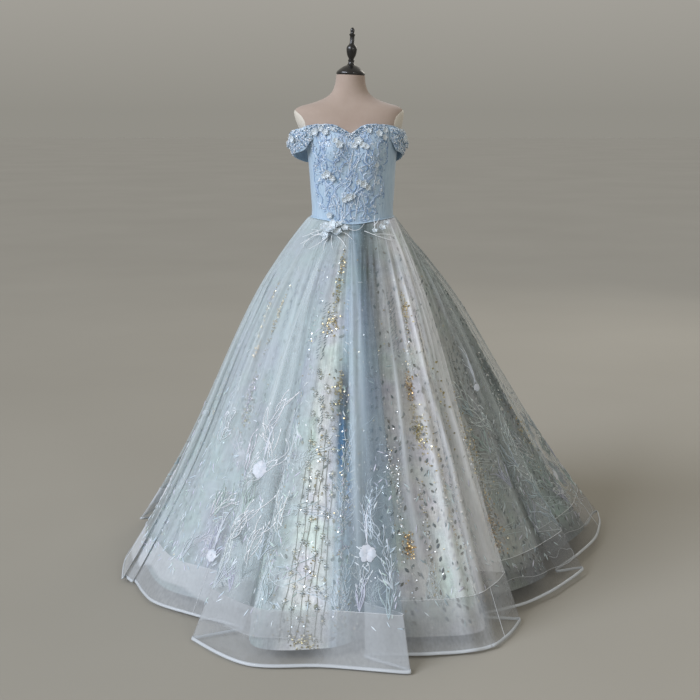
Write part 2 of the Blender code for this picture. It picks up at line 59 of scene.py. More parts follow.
def srgb(text):
    """Linear colour, with full alpha, of an sRGB hex value."""
    parts = [int(text[i:i + 2], 16) / 255 for i in (0, 2, 4)]
    return (*(c / 12.92 if c <= 0.04045 else ((c + 0.055) / 1.055) ** 2.4 for c in parts), 1.0)


def add(tree, kind, inputs={}, into=None, stops=(), **settings):
    """Adds a node. Its inputs are numbers, colours, or the sockets or nodes that feed them.

    Its first output feeds the socket into; stops are the places and hex colours of a ramp.
    """
    node = tree.nodes.new("ShaderNode" + kind)
    for name, value in settings.items():
        setattr(node, name, value)
    for name, value in inputs.items():
        if isinstance(value, bpy.types.Node):
            value = value.outputs[0]
        if isinstance(value, bpy.types.NodeSocket):
            tree.links.new(value, node.inputs[name])
        else:
            node.inputs[name].default_value = value
    for stop, (position, text) in enumerate(stops):
        node.color_ramp.elements[stop].position = position
        node.color_ramp.elements[stop].color = srgb(text)
    if into is not None:
        tree.links.new(node.outputs[0], into)
    return node


def new_finish(name, colour, roughness, **inputs):
    """A material with its constant inputs, its node tree and its surface shader."""
    material = bpy.data.materials.new(name)
    material.use_nodes = True
    tree = material.node_tree
    surface = tree.nodes["Principled BSDF"]
    surface.inputs["Base Color"].default_value = srgb(colour)
    surface.inputs["Roughness"].default_value = roughness
    for socket, value in inputs.items():
        surface.inputs[socket.replace("_", " ")].default_value = value
    return material, tree, surface


bpy.ops.mesh.primitive_plane_add(size=120)
floor = bpy.context.object
floor.name = "studio_floor"
# Studio floor: matt paper with a faint unevenness of tone.
paper, tree, surface = new_finish("matt floor paper", "A5A197", 0.85)
place = add(tree, "TexCoord").outputs["Object"]
blotch = add(tree, "TexNoise", {"Vector": place, "Scale": 0.6, "Detail": 3})
add(tree, "ValToRGB", {"Fac": blotch}, surface.inputs["Base Color"], ((0, "9A968C"), (1, "A6A298")))
floor.data.materials.append(paper)

room = bpy.data.worlds.new("grey room")
room.use_nodes = True
tree = room.node_tree                # the grey runs into the floor's own tone at the horizon
height = add(tree, "SeparateXYZ", {"Vector": add(tree, "TexCoord").outputs["Generated"]})
background = tree.nodes["Background"].inputs
add(tree, "ValToRGB", {"Fac": height.outputs["Z"]}, background["Color"], ((0, "B7B4AB"), (0.14, "D6D2C9")))
background["Strength"].default_value = 0.60
bpy.context.scene.world = room


def add_light(kind, name, place, aim, power, colour):
    """A light of a kind at a place, turned to shine along aim."""
    turned = Vector(aim).to_track_quat("-Z", "Y").to_euler()
    bpy.ops.object.light_add(type=kind, location=place, rotation=turned)
    light = bpy.context.object
    light.name = name
    light.data.energy = power
    light.data.color = srgb(colour)[:3]
    return light.data


SUN_AIM, SUN_POWER, SUN_SOFTNESS = (0.757, 0.437, -0.485), 2.5, 34
daylight = add_light("SUN", "soft_daylight_left", (-3, -2, 3), SUN_AIM, SUN_POWER, "EAF1FF")
daylight.angle = math.radians(SUN_SOFTNESS)
LIT_MIDDLE = Vector((0, 0, 0.85))
for name, stand, width, watts, colour in (        # name, place, width in metres, watts, colour
    ("sparkle_left", (-2.2, -3.2, 2.9), 0.5, 24, "F4F8FF"),
    ("sparkle_right", (1.8, -3.6, 2.5), 0.5, 12, "FFFFFF"),
    ("reflector_right", (3.4, -3.0, 1.8), 2.4, 6, "FFF4E6"),
    ("window_behind", (2.8, 4.2, 3.4), 2.4, 40, "FFF8EE"),
):
    lamp = add_light("AREA", name, stand, LIT_MIDDLE - Vector(stand), watts, colour)
    lamp.shape = "DISK"
    lamp.size = width

# ---- The form's body -----------------------------------------------------------------------
# A limbless torso of moulded foam under a stretched off-white jersey cover, with a paler plastic
# plate closing each arm end. It is built in oval sections, square is how boxy each one is.
FORM_SECTIONS = (            # z, middle, half width, front depth, back depth, square
    (0.860, 0.004, 0.146, 0.102, 0.112, 2.0),
    (0.960, 0.005, 0.170, 0.120, 0.138, 2.1),
    (1.060, 0.006, 0.152, 0.112, 0.116, 2.1),
    (1.157, 0.008, 0.130, 0.101, 0.094, 2.1),
    (1.250, 0.008, 0.133, 0.108, 0.100, 2.1),
    (1.340, 0.007, 0.139, 0.113, 0.108, 2.2),
    (1.400, 0.005, 0.148, 0.111, 0.110, 2.3),
    (1.445, 0.000, 0.166, 0.100, 0.104, 2.5),
    (1.480, -0.003, 0.175, 0.086, 0.095, 2.7),
    (1.500, -0.004, 0.174, 0.076, 0.086, 2.7),
    (1.512, -0.003, 0.156, 0.070, 0.078, 2.5),
    (1.524, -0.001, 0.112, 0.063, 0.070, 2.3),
    (1.545, 0.000, 0.069, 0.055, 0.058, 2.1),
    (1.575, 0.001, 0.051, 0.049, 0.050, 2.0),
    (1.609, 0.002, 0.046, 0.046, 0.046, 2.0),
)
BUST_AZIMUTH, BUST_Z, BUST_RISE, BUST_SPREAD, BUST_HEIGHT = 27, 1.372, 0.018, 19, 0.055
NECK_TOP = Matrix.Translation((0.002, 0, 1.609)) @ Matrix.Rotation(math.radians(2.5), 4, "Y")
NECK_RADIUS = 0.046


def smooth(rows, x):
    """Values at x on a smooth curve through rows, whose first column is x."""
    rows = np.array(rows, float)
    at, values = rows[:, 0], rows[:, 1:]
    slopes = np.empty_like(values)
    slopes[1:-1] = (values[2:] - values[:-2]) / (at[2:] - at[:-2])[:, None]
    slopes[0] = (values[1] - values[0]) / (at[1] - at[0])
    slopes[-1] = (values[-1] - values[-2]) / (at[-1] - at[-2])
    x = np.clip(x, at[0], at[-1])
    k = np.clip(np.searchsorted(at, x, side="right") - 1, 0, len(at) - 2)
    step = (at[k + 1] - at[k])[..., None]
    t = (x - at[k])[..., None] / step
    return ((2 * t**3 - 3 * t**2 + 1) * values[k] + (t**3 - 2 * t**2 + t) * step * slopes[k]
            + (3 * t**2 - 2 * t**3) * values[k + 1] + (t**3 - t**2) * step * slopes[k + 1])


def bell(x, spread):
    return np.exp(-(x / spread) ** 2)


def turned_back(azimuth):
    """The same azimuth between -180 and 180."""
    return (azimuth + 180) % 360 - 180


def body_point(azimuth, z, out=0.0):
    """Places at azimuths, in degrees from the front, and heights, out from the form's skin."""
    azimuth, z, out = np.broadcast_arrays(*(np.asarray(v, float) for v in (azimuth, z, out)))
    middle, half_width, front, back, square = np.moveaxis(smooth(FORM_SECTIONS, z), -1, 0)
    across, along = np.sin(np.radians(azimuth)), -np.cos(np.radians(azimuth))
    depth = np.where(along < 0, front, back)
    radius = (abs(across / half_width) ** square + abs(along / depth) ** square) ** (-1 / square)
    for side in (-1, 1):
        off = turned_back(azimuth - side * BUST_AZIMUTH)
        radius = radius + BUST_RISE * bell(off, BUST_SPREAD) * bell(z - BUST_Z, BUST_HEIGHT)
    radius = radius + out
    return np.stack((middle + across * radius, along * radius, z), -1)


def new_sheet(name, places):
    """A mesh with its own UVs through a grid of places, lowest row first, each anticlockwise."""
    rows, columns = places.shape[:2]
    bpy.ops.object.select_all(action="DESELECT")
    bpy.ops.mesh.primitive_grid_add(x_subdivisions=columns - 1, y_subdivisions=rows - 1)
    piece = bpy.context.object
    piece.name = piece.data.name = name
    piece.data.vertices.foreach_set("co", places.astype(np.float32).ravel())
    bpy.ops.object.shade_smooth()
    return piece


def edit_all(*steps):
    """Runs edit-mode steps on all of the active object's mesh."""
    bpy.ops.object.mode_set(mode="EDIT")
    bpy.ops.mesh.select_all(action="SELECT")
    for step in steps:
        step()
    bpy.ops.object.mode_set(mode="OBJECT")


def weld():
    bpy.ops.mesh.remove_doubles(threshold=0.00002)


def fill():
    bpy.ops.mesh.fill_holes(sides=0)


def fit(piece, finish, node=None):
    """Gives a piece its finish and fixes it to the figure, for a CAD node where one is named."""
    piece.data.materials.append(finish)
    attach(piece, "root")
    if node:
        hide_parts(node)
    return piece


steps = np.linspace(0, 360, 97)
heights = np.linspace(FORM_SECTIONS[0][0], FORM_SECTIONS[-1][0], 110)
rings = body_point(steps[None], heights[:, None])
rings[:, -1] = rings[:, 0]
circle = np.stack((np.sin(np.radians(steps)), -np.cos(np.radians(steps)), 0 * steps), -1) * NECK_RADIUS
rings[-1] = [NECK_TOP @ Vector(p) for p in circle]
rings[-1, -1] = rings[-1, 0]
form = new_sheet("jersey_torso", rings)
edit_all(weld, fill)
bpy.ops.object.shade_smooth_by_angle(angle=math.radians(50))
# Jersey cover: fine knit cotton stretched over foam. Matt, with a hairy bloom and a faint
# yellowing; the 1.2 mm knit is drawn at 3 mm so that it shows.
jersey, tree, surface = new_finish("stretched cotton jersey", "CDBCAE", 0.9,
                                   Sheen_Weight=0.25, Sheen_Roughness=0.5, Specular_IOR_Level=0.25)
place = add(tree, "TexCoord").outputs["Object"]
age = add(tree, "TexNoise", {"Vector": place, "Scale": 9, "Detail": 4, "Roughness": 0.6})
add(tree, "ValToRGB", {"Fac": age}, surface.inputs["Base Color"], ((0.3, "A69488"), (0.75, "B2A296")))
knit = add(tree, "TexWave", {"Vector": place, "Scale": 105, "Distortion": 1.5, "Detail": 1},
           bands_direction="Z").outputs["Fac"]
add(tree, "Bump", {"Height": knit, "Strength": 0.12, "Distance": 0.0006}, surface.inputs["Normal"])
fit(form, jersey, "form_body")

PLATE_Z, PLATE_HALF_HEIGHT, PLATE_HALF_ARC, PLATE_RISE = 1.452, 0.049, 25, 0.0016
# Arm plates: moulded matt plastic, a shade paler than the cover.
plate_plastic, tree, surface = new_finish("moulded plate plastic", "D3CDC1", 0.5)
place = add(tree, "TexCoord").outputs["Object"]
grain = add(tree, "TexNoise", {"Vector": place, "Scale": 900, "Detail": 2})
add(tree, "Bump", {"Height": grain, "Strength": 0.1, "Distance": 0.0003}, surface.inputs["Normal"])
for side, name in ((-1, "arm_plate_left"), (1, "arm_plate_right")):
    reach = np.array((0.001, 0.3, 0.6, 0.8, 0.92, 0.975, 1.0))[:, None]
    turn = np.linspace(0, 2 * math.pi, 49)[None] * side
    rise = PLATE_RISE * np.sqrt(np.clip(1 - reach**6, 0, 1)) - 0.0004
    disc = body_point(side * 90 + PLATE_HALF_ARC * reach * np.cos(turn),
                      PLATE_Z + PLATE_HALF_HEIGHT * reach * np.sin(turn), rise)[::-1]
    disc[:, -1] = disc[:, 0]
    plate = new_sheet(name, disc)
    edit_all(weld, fill)
    fit(plate, plate_plastic)

# ---- Neck cap, finial, pole and base -------------------------------------------------------
# Turned beech, sprayed with black gloss, screwed to the neck. The pole and iron base under the
# skirt are powder coated. Each is one profile of (height, radius), spun on the lathe.
TURNED = (
    ("turned_neck_cap", "neck_cap", NECK_TOP @ Matrix.Translation((0, 0, 0.0003)), (
        (0.0300, 0.0), (0.0300, 0.0150), (0.0290, 0.0185), (0.0250, 0.0260), (0.0200, 0.0335),
        (0.0143, 0.0400), (0.0115, 0.0432), (0.0085, 0.0456), (0.0055, 0.0463), (0.0020, 0.0460),
        (0.0004, 0.0448), (0.0, 0.0430), (0.0, 0.0))),
    ("turned_finial", "finial", NECK_TOP @ Matrix.Translation((0, 0, 0.0006)), (
        (0.1475, 0.0), (0.1472, 0.0022), (0.1462, 0.0038), (0.1450, 0.0048), (0.1425, 0.0061),
        (0.1400, 0.0066), (0.1350, 0.0065), (0.1310, 0.0060), (0.1292, 0.0066), (0.1272, 0.0090),
        (0.1250, 0.0102), (0.1230, 0.0092), (0.1212, 0.0076), (0.1180, 0.0072), (0.0995, 0.0073),
        (0.0960, 0.0088), (0.0925, 0.0118), (0.0890, 0.0149), (0.0857, 0.0166), (0.0800, 0.0171),
        (0.0726, 0.0163), (0.0660, 0.0151), (0.0607, 0.0136), (0.0550, 0.0107), (0.0510, 0.0085),
        (0.0490, 0.0082), (0.0478, 0.0094), (0.0464, 0.0104), (0.0445, 0.0101), (0.0400, 0.0091),
        (0.0357, 0.0100), (0.0330, 0.0118), (0.0303, 0.0140), (0.0303, 0.0))),
    ("round_base", "stand_base", Matrix.Identity(4), (
        (0.0300, 0.0), (0.0300, 0.0185), (0.0290, 0.0200), (0.0200, 0.0208), (0.0150, 0.0240),
        (0.0138, 0.0280), (0.0120, 0.1820), (0.0105, 0.1872), (0.0080, 0.1898), (0.0012, 0.1900),
        (0.0, 0.1890), (0.0, 0.0))),
    ("straight_pole", "stand_pole", Matrix.Identity(4), (
        (0.8597, 0.0), (0.8597, 0.0140), (0.5000, 0.0140), (0.0303, 0.0140), (0.0303, 0.0))),
)
# Black gloss paint on wood: near black, with a clear coat and the faint ripple of a brush.
gloss, tree, surface = new_finish("black gloss paint", "0B0909", 0.34, Coat_Weight=0.5,
                                  Coat_Roughness=0.12)
place = add(tree, "TexCoord").outputs["Object"]
ripple = add(tree, "TexNoise", {"Vector": place, "Scale": 160, "Detail": 2})
add(tree, "MapRange", {"Value": ripple, "To Min": 0.26, "To Max": 0.42}, surface.inputs["Roughness"])
add(tree, "Bump", {"Height": ripple, "Strength": 0.08, "Distance": 0.0005}, surface.inputs["Normal"])
# Powder coat on iron: black, matt, with a fine orange-peel grain of about 1 mm.
powder, tree, surface = new_finish("black powder coat", "141415", 0.6)
place = add(tree, "TexCoord").outputs["Object"]
peel = add(tree, "TexNoise", {"Vector": place, "Scale": 700, "Detail": 2})
add(tree, "Bump", {"Height": peel, "Strength": 0.35, "Distance": 0.0004}, surface.inputs["Normal"])
for name, node, stands, profile in TURNED:
    mesh = bpy.data.meshes.new(name)
    mesh.from_pydata([(radius, 0, height) for height, radius in profile],
                     [(i, i + 1) for i in range(len(profile) - 1)], [])
    piece = bpy.data.objects.new(name, mesh)
    bpy.context.collection.objects.link(piece)
    bpy.ops.object.select_all(action="DESELECT")
    bpy.context.view_layer.objects.active = piece
    piece.select_set(True)
    spin = piece.modifiers.new("lathe", "SCREW")
    spin.steps = spin.render_steps = 64
    spin.use_merge_vertices = True
    spin.merge_threshold = 0.00001
    bpy.ops.object.modifier_apply(modifier=spin.name)
    edit_all(lambda: bpy.ops.mesh.normals_make_consistent(inside=False))
    bpy.ops.object.shade_smooth_by_angle(angle=math.radians(38))
    piece.data.transform(stands)
    if node in ("neck_cap", "finial"):
        fit(piece, gloss, node)
    else:
        fit(piece, powder, node)

# ---- The bodice's five panels --------------------------------------------------------------
# Ice-blue duchess satin on a boned lining, 1.5 mm thick in all, seamed at the sides and closed
# down the centre back. The top edge is a soft sweetheart; the waist seam dips in front.
WAIST_Z, WAIST_DIP, WAIST_DIP_SPREAD, WAIST_HALF_WIDTH = 1.157, 0.016, 42, 0.130
NECKLINE = (                 # azimuth either side of the front, height of the top edge
    (0, 1.425), (10, 1.437), (24, 1.451), (48, 1.454), (68, 1.444), (90, 1.410),
    (120, 1.380), (180, 1.370),
)
BODICE_OUT = 0.0045          # the satin's face, off the form's skin
BODICE_WALL = 0.0015
PANEL_GAP, WAIST_GAP = 0.05, 0.0004      # degrees between a panel and its seam, metres at the waist
FRONT_ROWS = 90
PANELS = (                   # name, CAD node, start and end azimuth, flat width and length
    ("satin_front", "bodice_front", -64, 54, (0.285, 0.315)),
    ("satin_side_right", "bodice_side_right", 54, 112, (0.155, 0.300)),
    ("satin_back_right", "bodice_back_right", 112, 180, (0.150, 0.228)),
    ("satin_back_left", "bodice_back_left", 180, 248, (0.150, 0.228)),
    ("satin_side_left", "bodice_side_left", 248, 296, (0.130, 0.295)),
)


def waist_z(azimuth):
    return WAIST_Z - WAIST_DIP * bell(turned_back(azimuth), WAIST_DIP_SPREAD)


def neckline_z(azimuth):
    return smooth(NECKLINE, abs(turned_back(np.asarray(azimuth, float))))[..., 0]


class Cloth:
    """A finished sheet, so that trim can be laid on it by column and row of its grid."""

    def __init__(self, places, plain=None):
        self.places = places
        self.normals = self.unit(np.cross(np.gradient(places, axis=1), np.gradient(places, axis=0)))
        plain = places if plain is None else plain
        self.along, self.up = np.gradient(plain, axis=1), np.gradient(plain, axis=0)

    @staticmethod
    def unit(vectors):
        return vectors / np.maximum(np.linalg.norm(vectors, axis=-1, keepdims=True), 1e-9)

    def read(self, grid, column, row):
        column = np.clip(column, 0, grid.shape[1] - 1.001)
        row = np.clip(row, 0, grid.shape[0] - 1.001)
        i, j = column.astype(int), row.astype(int)
        f, g = (column - i)[..., None], (row - j)[..., None]
        return ((grid[j, i] * (1 - f) + grid[j, i + 1] * f) * (1 - g)
                + (grid[j + 1, i] * (1 - f) + grid[j + 1, i + 1] * f) * g)

    def lay(self, column, row, out=0.0):
        """Places on the cloth, out along its normal."""
        out = np.broadcast_to(out, np.shape(column))[..., None]
        return self.read(self.places, column, row) + self.read(self.normals, column, row) * out

    def moved(self, column, row, across, upward):
        """Columns and rows after a move across and up the cloth, in metres."""
        along, up = self.read(self.along, column, row), self.read(self.up, column, row)
        way_up = self.unit(up)
        lean = (along * way_up).sum(-1)
        width = np.linalg.norm(along - way_up * lean[..., None], axis=-1)
        over = across / np.maximum(width, 1e-5)
        higher = (upward - over * lean) / np.maximum(np.linalg.norm(up, axis=-1), 1e-5)
        return column + over, row + higher

    def run(self, column, row, out, radii):
        """A run of cord on the cloth: its places, the cloth's normals there and its radii."""
        return self.lay(column, row, out), self.read(self.normals, column, row), radii


def joined(name, vertices, *groups):
    """One mesh of many small parts; each group is an array of faces with as many corners."""
    corners = np.concatenate([g.ravel() for g in groups]).astype(np.int32)
    sizes = np.concatenate([np.full(len(g), g.shape[1]) for g in groups])
    mesh = bpy.data.meshes.new(name)
    mesh.vertices.add(len(vertices))
    mesh.vertices.foreach_set("co", np.asarray(vertices, np.float32).ravel())
    mesh.loops.add(len(corners))
    mesh.loops.foreach_set("vertex_index", corners)
    mesh.polygons.add(len(sizes))
    mesh.polygons.foreach_set("loop_start", (np.cumsum(sizes) - sizes).astype(np.int32))
    mesh.update(calc_edges=True)
    mesh.validate()
    mesh.shade_smooth()
    piece = bpy.data.objects.new(name, mesh)
    bpy.context.collection.objects.link(piece)
    return piece


def paint(piece, name, colours):
    """Gives each corner of a piece a colour."""
    layer = piece.data.color_attributes.new(name=name, type="FLOAT_COLOR", domain="POINT")
    layer.data.foreach_set("color", np.ascontiguousarray(colours, np.float32).ravel())


def cords(name, runs, sides, colours=None):
    """Round cords as one mesh. Each run is its places, the normals of the cloth, its radii."""
    vertices, quads, tips, first = [], [], [], 0
    turn = np.arange(sides) * 2 * math.pi / sides
    for places, normals, radii in runs:
        count = len(places)
        radii = np.broadcast_to(radii, count)
        ahead = Cloth.unit(np.gradient(places, axis=0))
        side = Cloth.unit(np.cross(ahead, normals))
        up = np.cross(side, ahead)
        ring = (np.cos(turn)[None, :, None] * side[:, None] + np.sin(turn)[None, :, None] * up[:, None])
        vertices.append((places[:, None] + ring * radii[:, None, None]).reshape(-1, 3))
        vertices.append(np.stack((places[0] - ahead[0] * radii[0], places[-1] + ahead[-1] * radii[-1])))
        a = first + np.arange(count - 1)[:, None] * sides + np.arange(sides)[None]
        b = first + np.arange(count - 1)[:, None] * sides + np.roll(np.arange(sides), -1)[None]
        quads.append(np.stack((a, a + sides, b + sides, b), -1).reshape(-1, 4))
        start, end = first + count * sides, first + count * sides + 1
        i, j = np.arange(sides), np.roll(np.arange(sides), -1)
        last = first + (count - 1) * sides
        tips.append(np.stack((first + i, first + j, np.full(sides, start)), -1))
        tips.append(np.stack((last + j, last + i, np.full(sides, end)), -1))
        first += count * sides + 2
    piece = joined(name, np.concatenate(vertices), np.concatenate(quads), np.concatenate(tips))
    if colours is not None:                          # one for each run
        paint(piece, "tint", np.repeat(colours, [len(run[0]) * sides + 2 for run in runs], axis=0))
    return piece


def thicken(piece, wall):
    """Gives a sheet its wall, inwards from its face."""
    bpy.ops.object.select_all(action="DESELECT")
    bpy.context.view_layer.objects.active = piece
    piece.select_set(True)
    solid = piece.modifiers.new("wall", "SOLIDIFY")
    solid.thickness = wall
    solid.offset = -1
    bpy.ops.object.modifier_apply(modifier=solid.name)


# Duchess satin: dense silk-like weave. Its sheen runs across the warp and its bloom is soft;
# the 0.1 mm threads are drawn at 1.5 mm, and faint slubs and pressing marks break the tone.
satin, tree, surface = new_finish("ice blue duchess satin", "AEC2DC", 0.42, Sheen_Weight=0.3,
                                  Sheen_Roughness=0.35, Specular_IOR_Level=0.45)
place = add(tree, "TexCoord").outputs["Object"]
slub = add(tree, "Mapping", {"Vector": place, "Scale": (260, 260, 24)})
slubs = add(tree, "TexNoise", {"Vector": slub, "Scale": 1, "Detail": 3})
add(tree, "ValToRGB", {"Fac": slubs}, surface.inputs["Base Color"], ((0.3, "A3BCD2"), (0.7, "BACFE0")))
add(tree, "Bump", {"Height": slubs, "Strength": 0.25, "Distance": 0.0004}, surface.inputs["Normal"])

bodice = {}
for name, node, start, end, flat in PANELS:
    azimuth = np.linspace(start + PANEL_GAP, end - PANEL_GAP, (end - start) + 1)[None]
    rise = np.linspace(0, 1, FRONT_ROWS + 1 if node == "bodice_front" else 61)[:, None]
    low, top = waist_z(azimuth) + WAIST_GAP, neckline_z(azimuth)
    z = low + (top - low) * rise
    # drag lines: shallow slanting wrinkles that fade above the waist
    drag = 0.0006 * np.sin(azimuth * 0.55 + z * 95) * bell(rise - 0.12, 0.16) * np.sin(math.pi * rise)
    panel_cloth = Cloth(body_point(azimuth, z, BODICE_OUT + drag))
    bodice[name] = panel_cloth
    panel = new_sheet(name, panel_cloth.places)
    thicken(panel, BODICE_WALL)
    fit(panel, satin, node)

# Top edge and seams: a bias binding of the same satin, and a welt where panels meet.
around = np.linspace(0, 360, 361)
upright = np.tile((0.0, 0.0, 1.0), (361, 1))
binding = body_point(around, neckline_z(around) - 0.0006, BODICE_OUT - 0.0003)
fit(cords("bias_binding_top", [(binding, upright, 0.0017)], 8), satin)
runs = []
for azimuth in (panel[2] for panel in PANELS):
    z = np.linspace(float(waist_z(azimuth)) + 0.002, float(neckline_z(azimuth)) - 0.002, 60)
    run = body_point(azimuth, z, BODICE_OUT - 0.0004)
    runs.append((run, Cloth.unit(run - body_point(azimuth, z)), 0.0009))
fit(cords("bodice_seam_welts", runs, 6), satin)

# ---- The skirt's shape ---------------------------------------------------------------------
# The hem billows in eleven lobes between deep folds, each with its place at the waist. Columns
# are counted along the hem, six control points a lobe (edge, edge, billow, billow, edge, edge).
LOBES = (       # start and end azimuth, radius at four places, azimuth of its end at the waist, lift
    (-31, 9, 0.865, 0.930, 0.900, 0.945, 4, 0.006),
    (4, 39, 0.835, 0.862, 0.880, 0.800, 75, 0.008),
    (34, 72, 0.715, 0.745, 0.768, 0.805, 104, 0.018),
    (68, 106, 0.730, 0.790, 0.880, 0.965, 128, 0.028),
    (100, 137, 0.850, 0.880, 0.890, 0.920, 152, 0.030),
    (131, 168, 0.810, 0.845, 0.850, 0.880, 176, 0.022),
    (162, 199, 0.790, 0.830, 0.835, 0.865, 200, 0.016),
    (193, 229, 0.780, 0.815, 0.820, 0.845, 224, 0.020),
    (223, 254, 0.760, 0.790, 0.795, 0.800, 249, 0.028),
    (249, 292, 0.735, 0.730, 0.768, 0.798, 279, 0.014),
    (295, 334, 0.766, 0.777, 0.745, 0.735, 326, 0.010),
)
SEAMS = (9, 21, 33, 45, 57)          # control points at which two gores are sewn together
FOLD_ROUND, FOLD_ROUND_SHARE, FOLD_SHARE = 0.025, 0.3, 0.30
HIP_BULGE, KNEE_HOLLOW, KNEE_HOLLOW_LEFT = 0.66, 0.125, 0.045
BAND_LEVEL, EDGE_LEVEL = 0.890, 0.9935       # levels run from 0 at the waist to 1 at the hem
WAIST_OUT, TULLE_OUT, TULLE_DROP, TULLE_INSET, TULLE_END = 0.0105, 0.0045, 0.003, 0.028, 0.972

hem_points, waist_points = [], []
for i, (start, end, r_start, r_early, r_late, r_end, waist_end, lift) in enumerate(LOBES):
    before, after = LOBES[i - 1], LOBES[(i + 1) % len(LOBES)]
    waist_before = before[6] - (0 if i else 360)
    waist_start = waist_before + FOLD_SHARE * (waist_end - waist_before)
    waist_after = after[6] + (0 if i < len(LOBES) - 1 else 360)
    third, panel = (end - start) / 3, (waist_end - waist_start) / 3
    into = max(-FOLD_ROUND, min(FOLD_ROUND, (before[5] - r_start) * FOLD_ROUND_SHARE))
    away = max(-FOLD_ROUND, min(FOLD_ROUND, (after[2] - r_end) * FOLD_ROUND_SHARE))
    for azimuth, radius, waist in (
        (start, r_start + into, waist_start - (waist_start - waist_before) / 3),
        (start, r_start, waist_start),
        (start + third, r_early, waist_start + panel),
        (end - third, r_late, waist_end - panel),
        (end, r_end, waist_end),
        (end, r_end + away, waist_end + FOLD_SHARE * (waist_after - waist_end) / 3),
    ):
        hem_points.append((radius * math.sin(math.radians(azimuth)),
                           -radius * math.cos(math.radians(azimuth)), lift))
        waist_points.append(waist)
hem_points, waist_points = np.array(hem_points), np.array(waist_points)
under_points, under_waist, under_count = [], [], []      # three a lobe, and the count they stand at
for i, lobe in enumerate(LOBES):
    hidden = 6 * i + 1 if LOBES[i - 1][5] > lobe[2] else 6 * i - 2
    for index in (hidden, 6 * i + 2, 6 * i + 3):
        inward = 1 - TULLE_INSET / math.hypot(*hem_points[index][:2])
        under_points.append(hem_points[index] * (inward, inward, 1))
        under_waist.append(waist_points[index] - (360 if index < 0 else 0))
        under_count.append(index)
under_points, under_waist = np.array(under_points), np.array(under_waist)


def layer_point(hems, waists, count, level, waist_out, drop):
    """Places on a layer: count goes round its control points, level from waist to hem."""
    whole = np.floor(count).astype(int)
    t = (count - whole)[..., None]
    a, b, c, d = (hems[(whole + k) % len(hems)] for k in (-1, 0, 1, 2))
    low = 0.5 * (2 * b + (c - a) * t + (2 * a - 5 * b + 4 * c - d) * t**2
                 + (3 * b - a - 3 * c + d) * t**3)
    azimuth = np.interp(count, np.arange(2 * len(hems) + 1),
                        np.concatenate((waists, waists + 360, waists[:1] + 720)))
    top = body_point(azimuth, waist_z(azimuth) - drop, waist_out)
    side = low[..., 0] / np.hypot(low[..., 0], low[..., 1])
    hollow = KNEE_HOLLOW - KNEE_HOLLOW_LEFT * side
    reach = level + HIP_BULGE * level * (1 - level) ** 3 - hollow * level**2 * (1 - level)
    xy = top[..., :2] + (low[..., :2] - top[..., :2]) * reach[..., None]
    z = top[..., 2] + (low[..., 2] - top[..., 2]) * level
    return np.concatenate((xy, z[..., None]), -1)


WAIST_WEIGHT = 4             # columns are spaced by hem length plus this much waist length
AROUND = 6 * len(LOBES)      # control points round the hem
dense = np.linspace(SEAMS[0], SEAMS[0] + AROUND, AROUND * 60 + 1)
hem_line = layer_point(hem_points, waist_points, dense, np.ones_like(dense), WAIST_OUT, 0)
waist_line = layer_point(hem_points, waist_points, dense, np.zeros_like(dense), WAIST_OUT, 0)
length = np.concatenate(([0], np.cumsum(
    np.linalg.norm(np.diff(hem_line, axis=0), axis=1)
    + WAIST_WEIGHT * np.linalg.norm(np.diff(waist_line, axis=0), axis=1))))
length /= length[-1]         # share of the cloth's width, from the first seam


def spaced(columns, seams, along):
    """Counts of a layer's columns, and the column that each seam falls on."""
    ends = [*np.interp(seams, along, length), 1.0]
    counts, first = [np.array([seams[0]])], [0]
    for low, high in zip(ends, ends[1:]):
        number = max(2, round(columns * (high - low)))
        counts.append(np.interp(np.linspace(low, high, number + 1)[1:], length, along))
        first.append(first[-1] + number)
    return np.concatenate(counts), first


def uneven(share, waves, seed):
    """A smooth random wave round the cloth, about 1 in size, the same where it closes."""
    spread = 0.45                # of the number of waves, either way
    draw = np.random.default_rng(seed)
    total = 0
    for k in range(max(1, int(waves * (1 - spread))), int(waves * (1 + spread)) + 1):
        total = total + draw.normal() * np.cos(2 * math.pi * (k * share + draw.random()))
    return total / math.sqrt(max(1, int(2 * waves * spread)) / 2)


def ramp(x, low, high):
    x = np.clip((x - low) / (high - low), 0, 1)
    return x * x * (3 - 2 * x)


def counted(share):
    """Counts at shares of the cloth's width, between -10 and 56, which meet on the left."""
    count = np.interp(share, length, dense)
    return np.where(count > 56, count - AROUND, count)


def from_table(x, table):
    """Values at x, between the rows of a table of x and value."""
    return np.interp(x, *zip(*table))


def apart(count, other):
    """Counts from other to count, the short way round."""
    return (count - other + AROUND / 2) % AROUND - AROUND / 2


# Gathers: some 170 small pleats drawn up at the waist, which run together lower down into
# fewer, longer ones and then into soft flutes. Depths are in metres.
GATHERS, PLEATS, FLUTES = 172, 62, 27
FULLNESS = (                 # count, how far the cloth there is pleated
    (-10, 0.22), (0.5, 0.28), (2.2, 0.45), (3.5, 0.7), (6.5, 1.05), (16, 1.15), (21, 0.8), (33, 0.7),
    (45, 0.7), (53, 0.5), (56, 0.22),
)


def pull(share):
    """Which gather each share of the width is in, as they are drawn up unevenly."""
    return GATHERS * share + 0.55 * uneven(share, 24, 3)


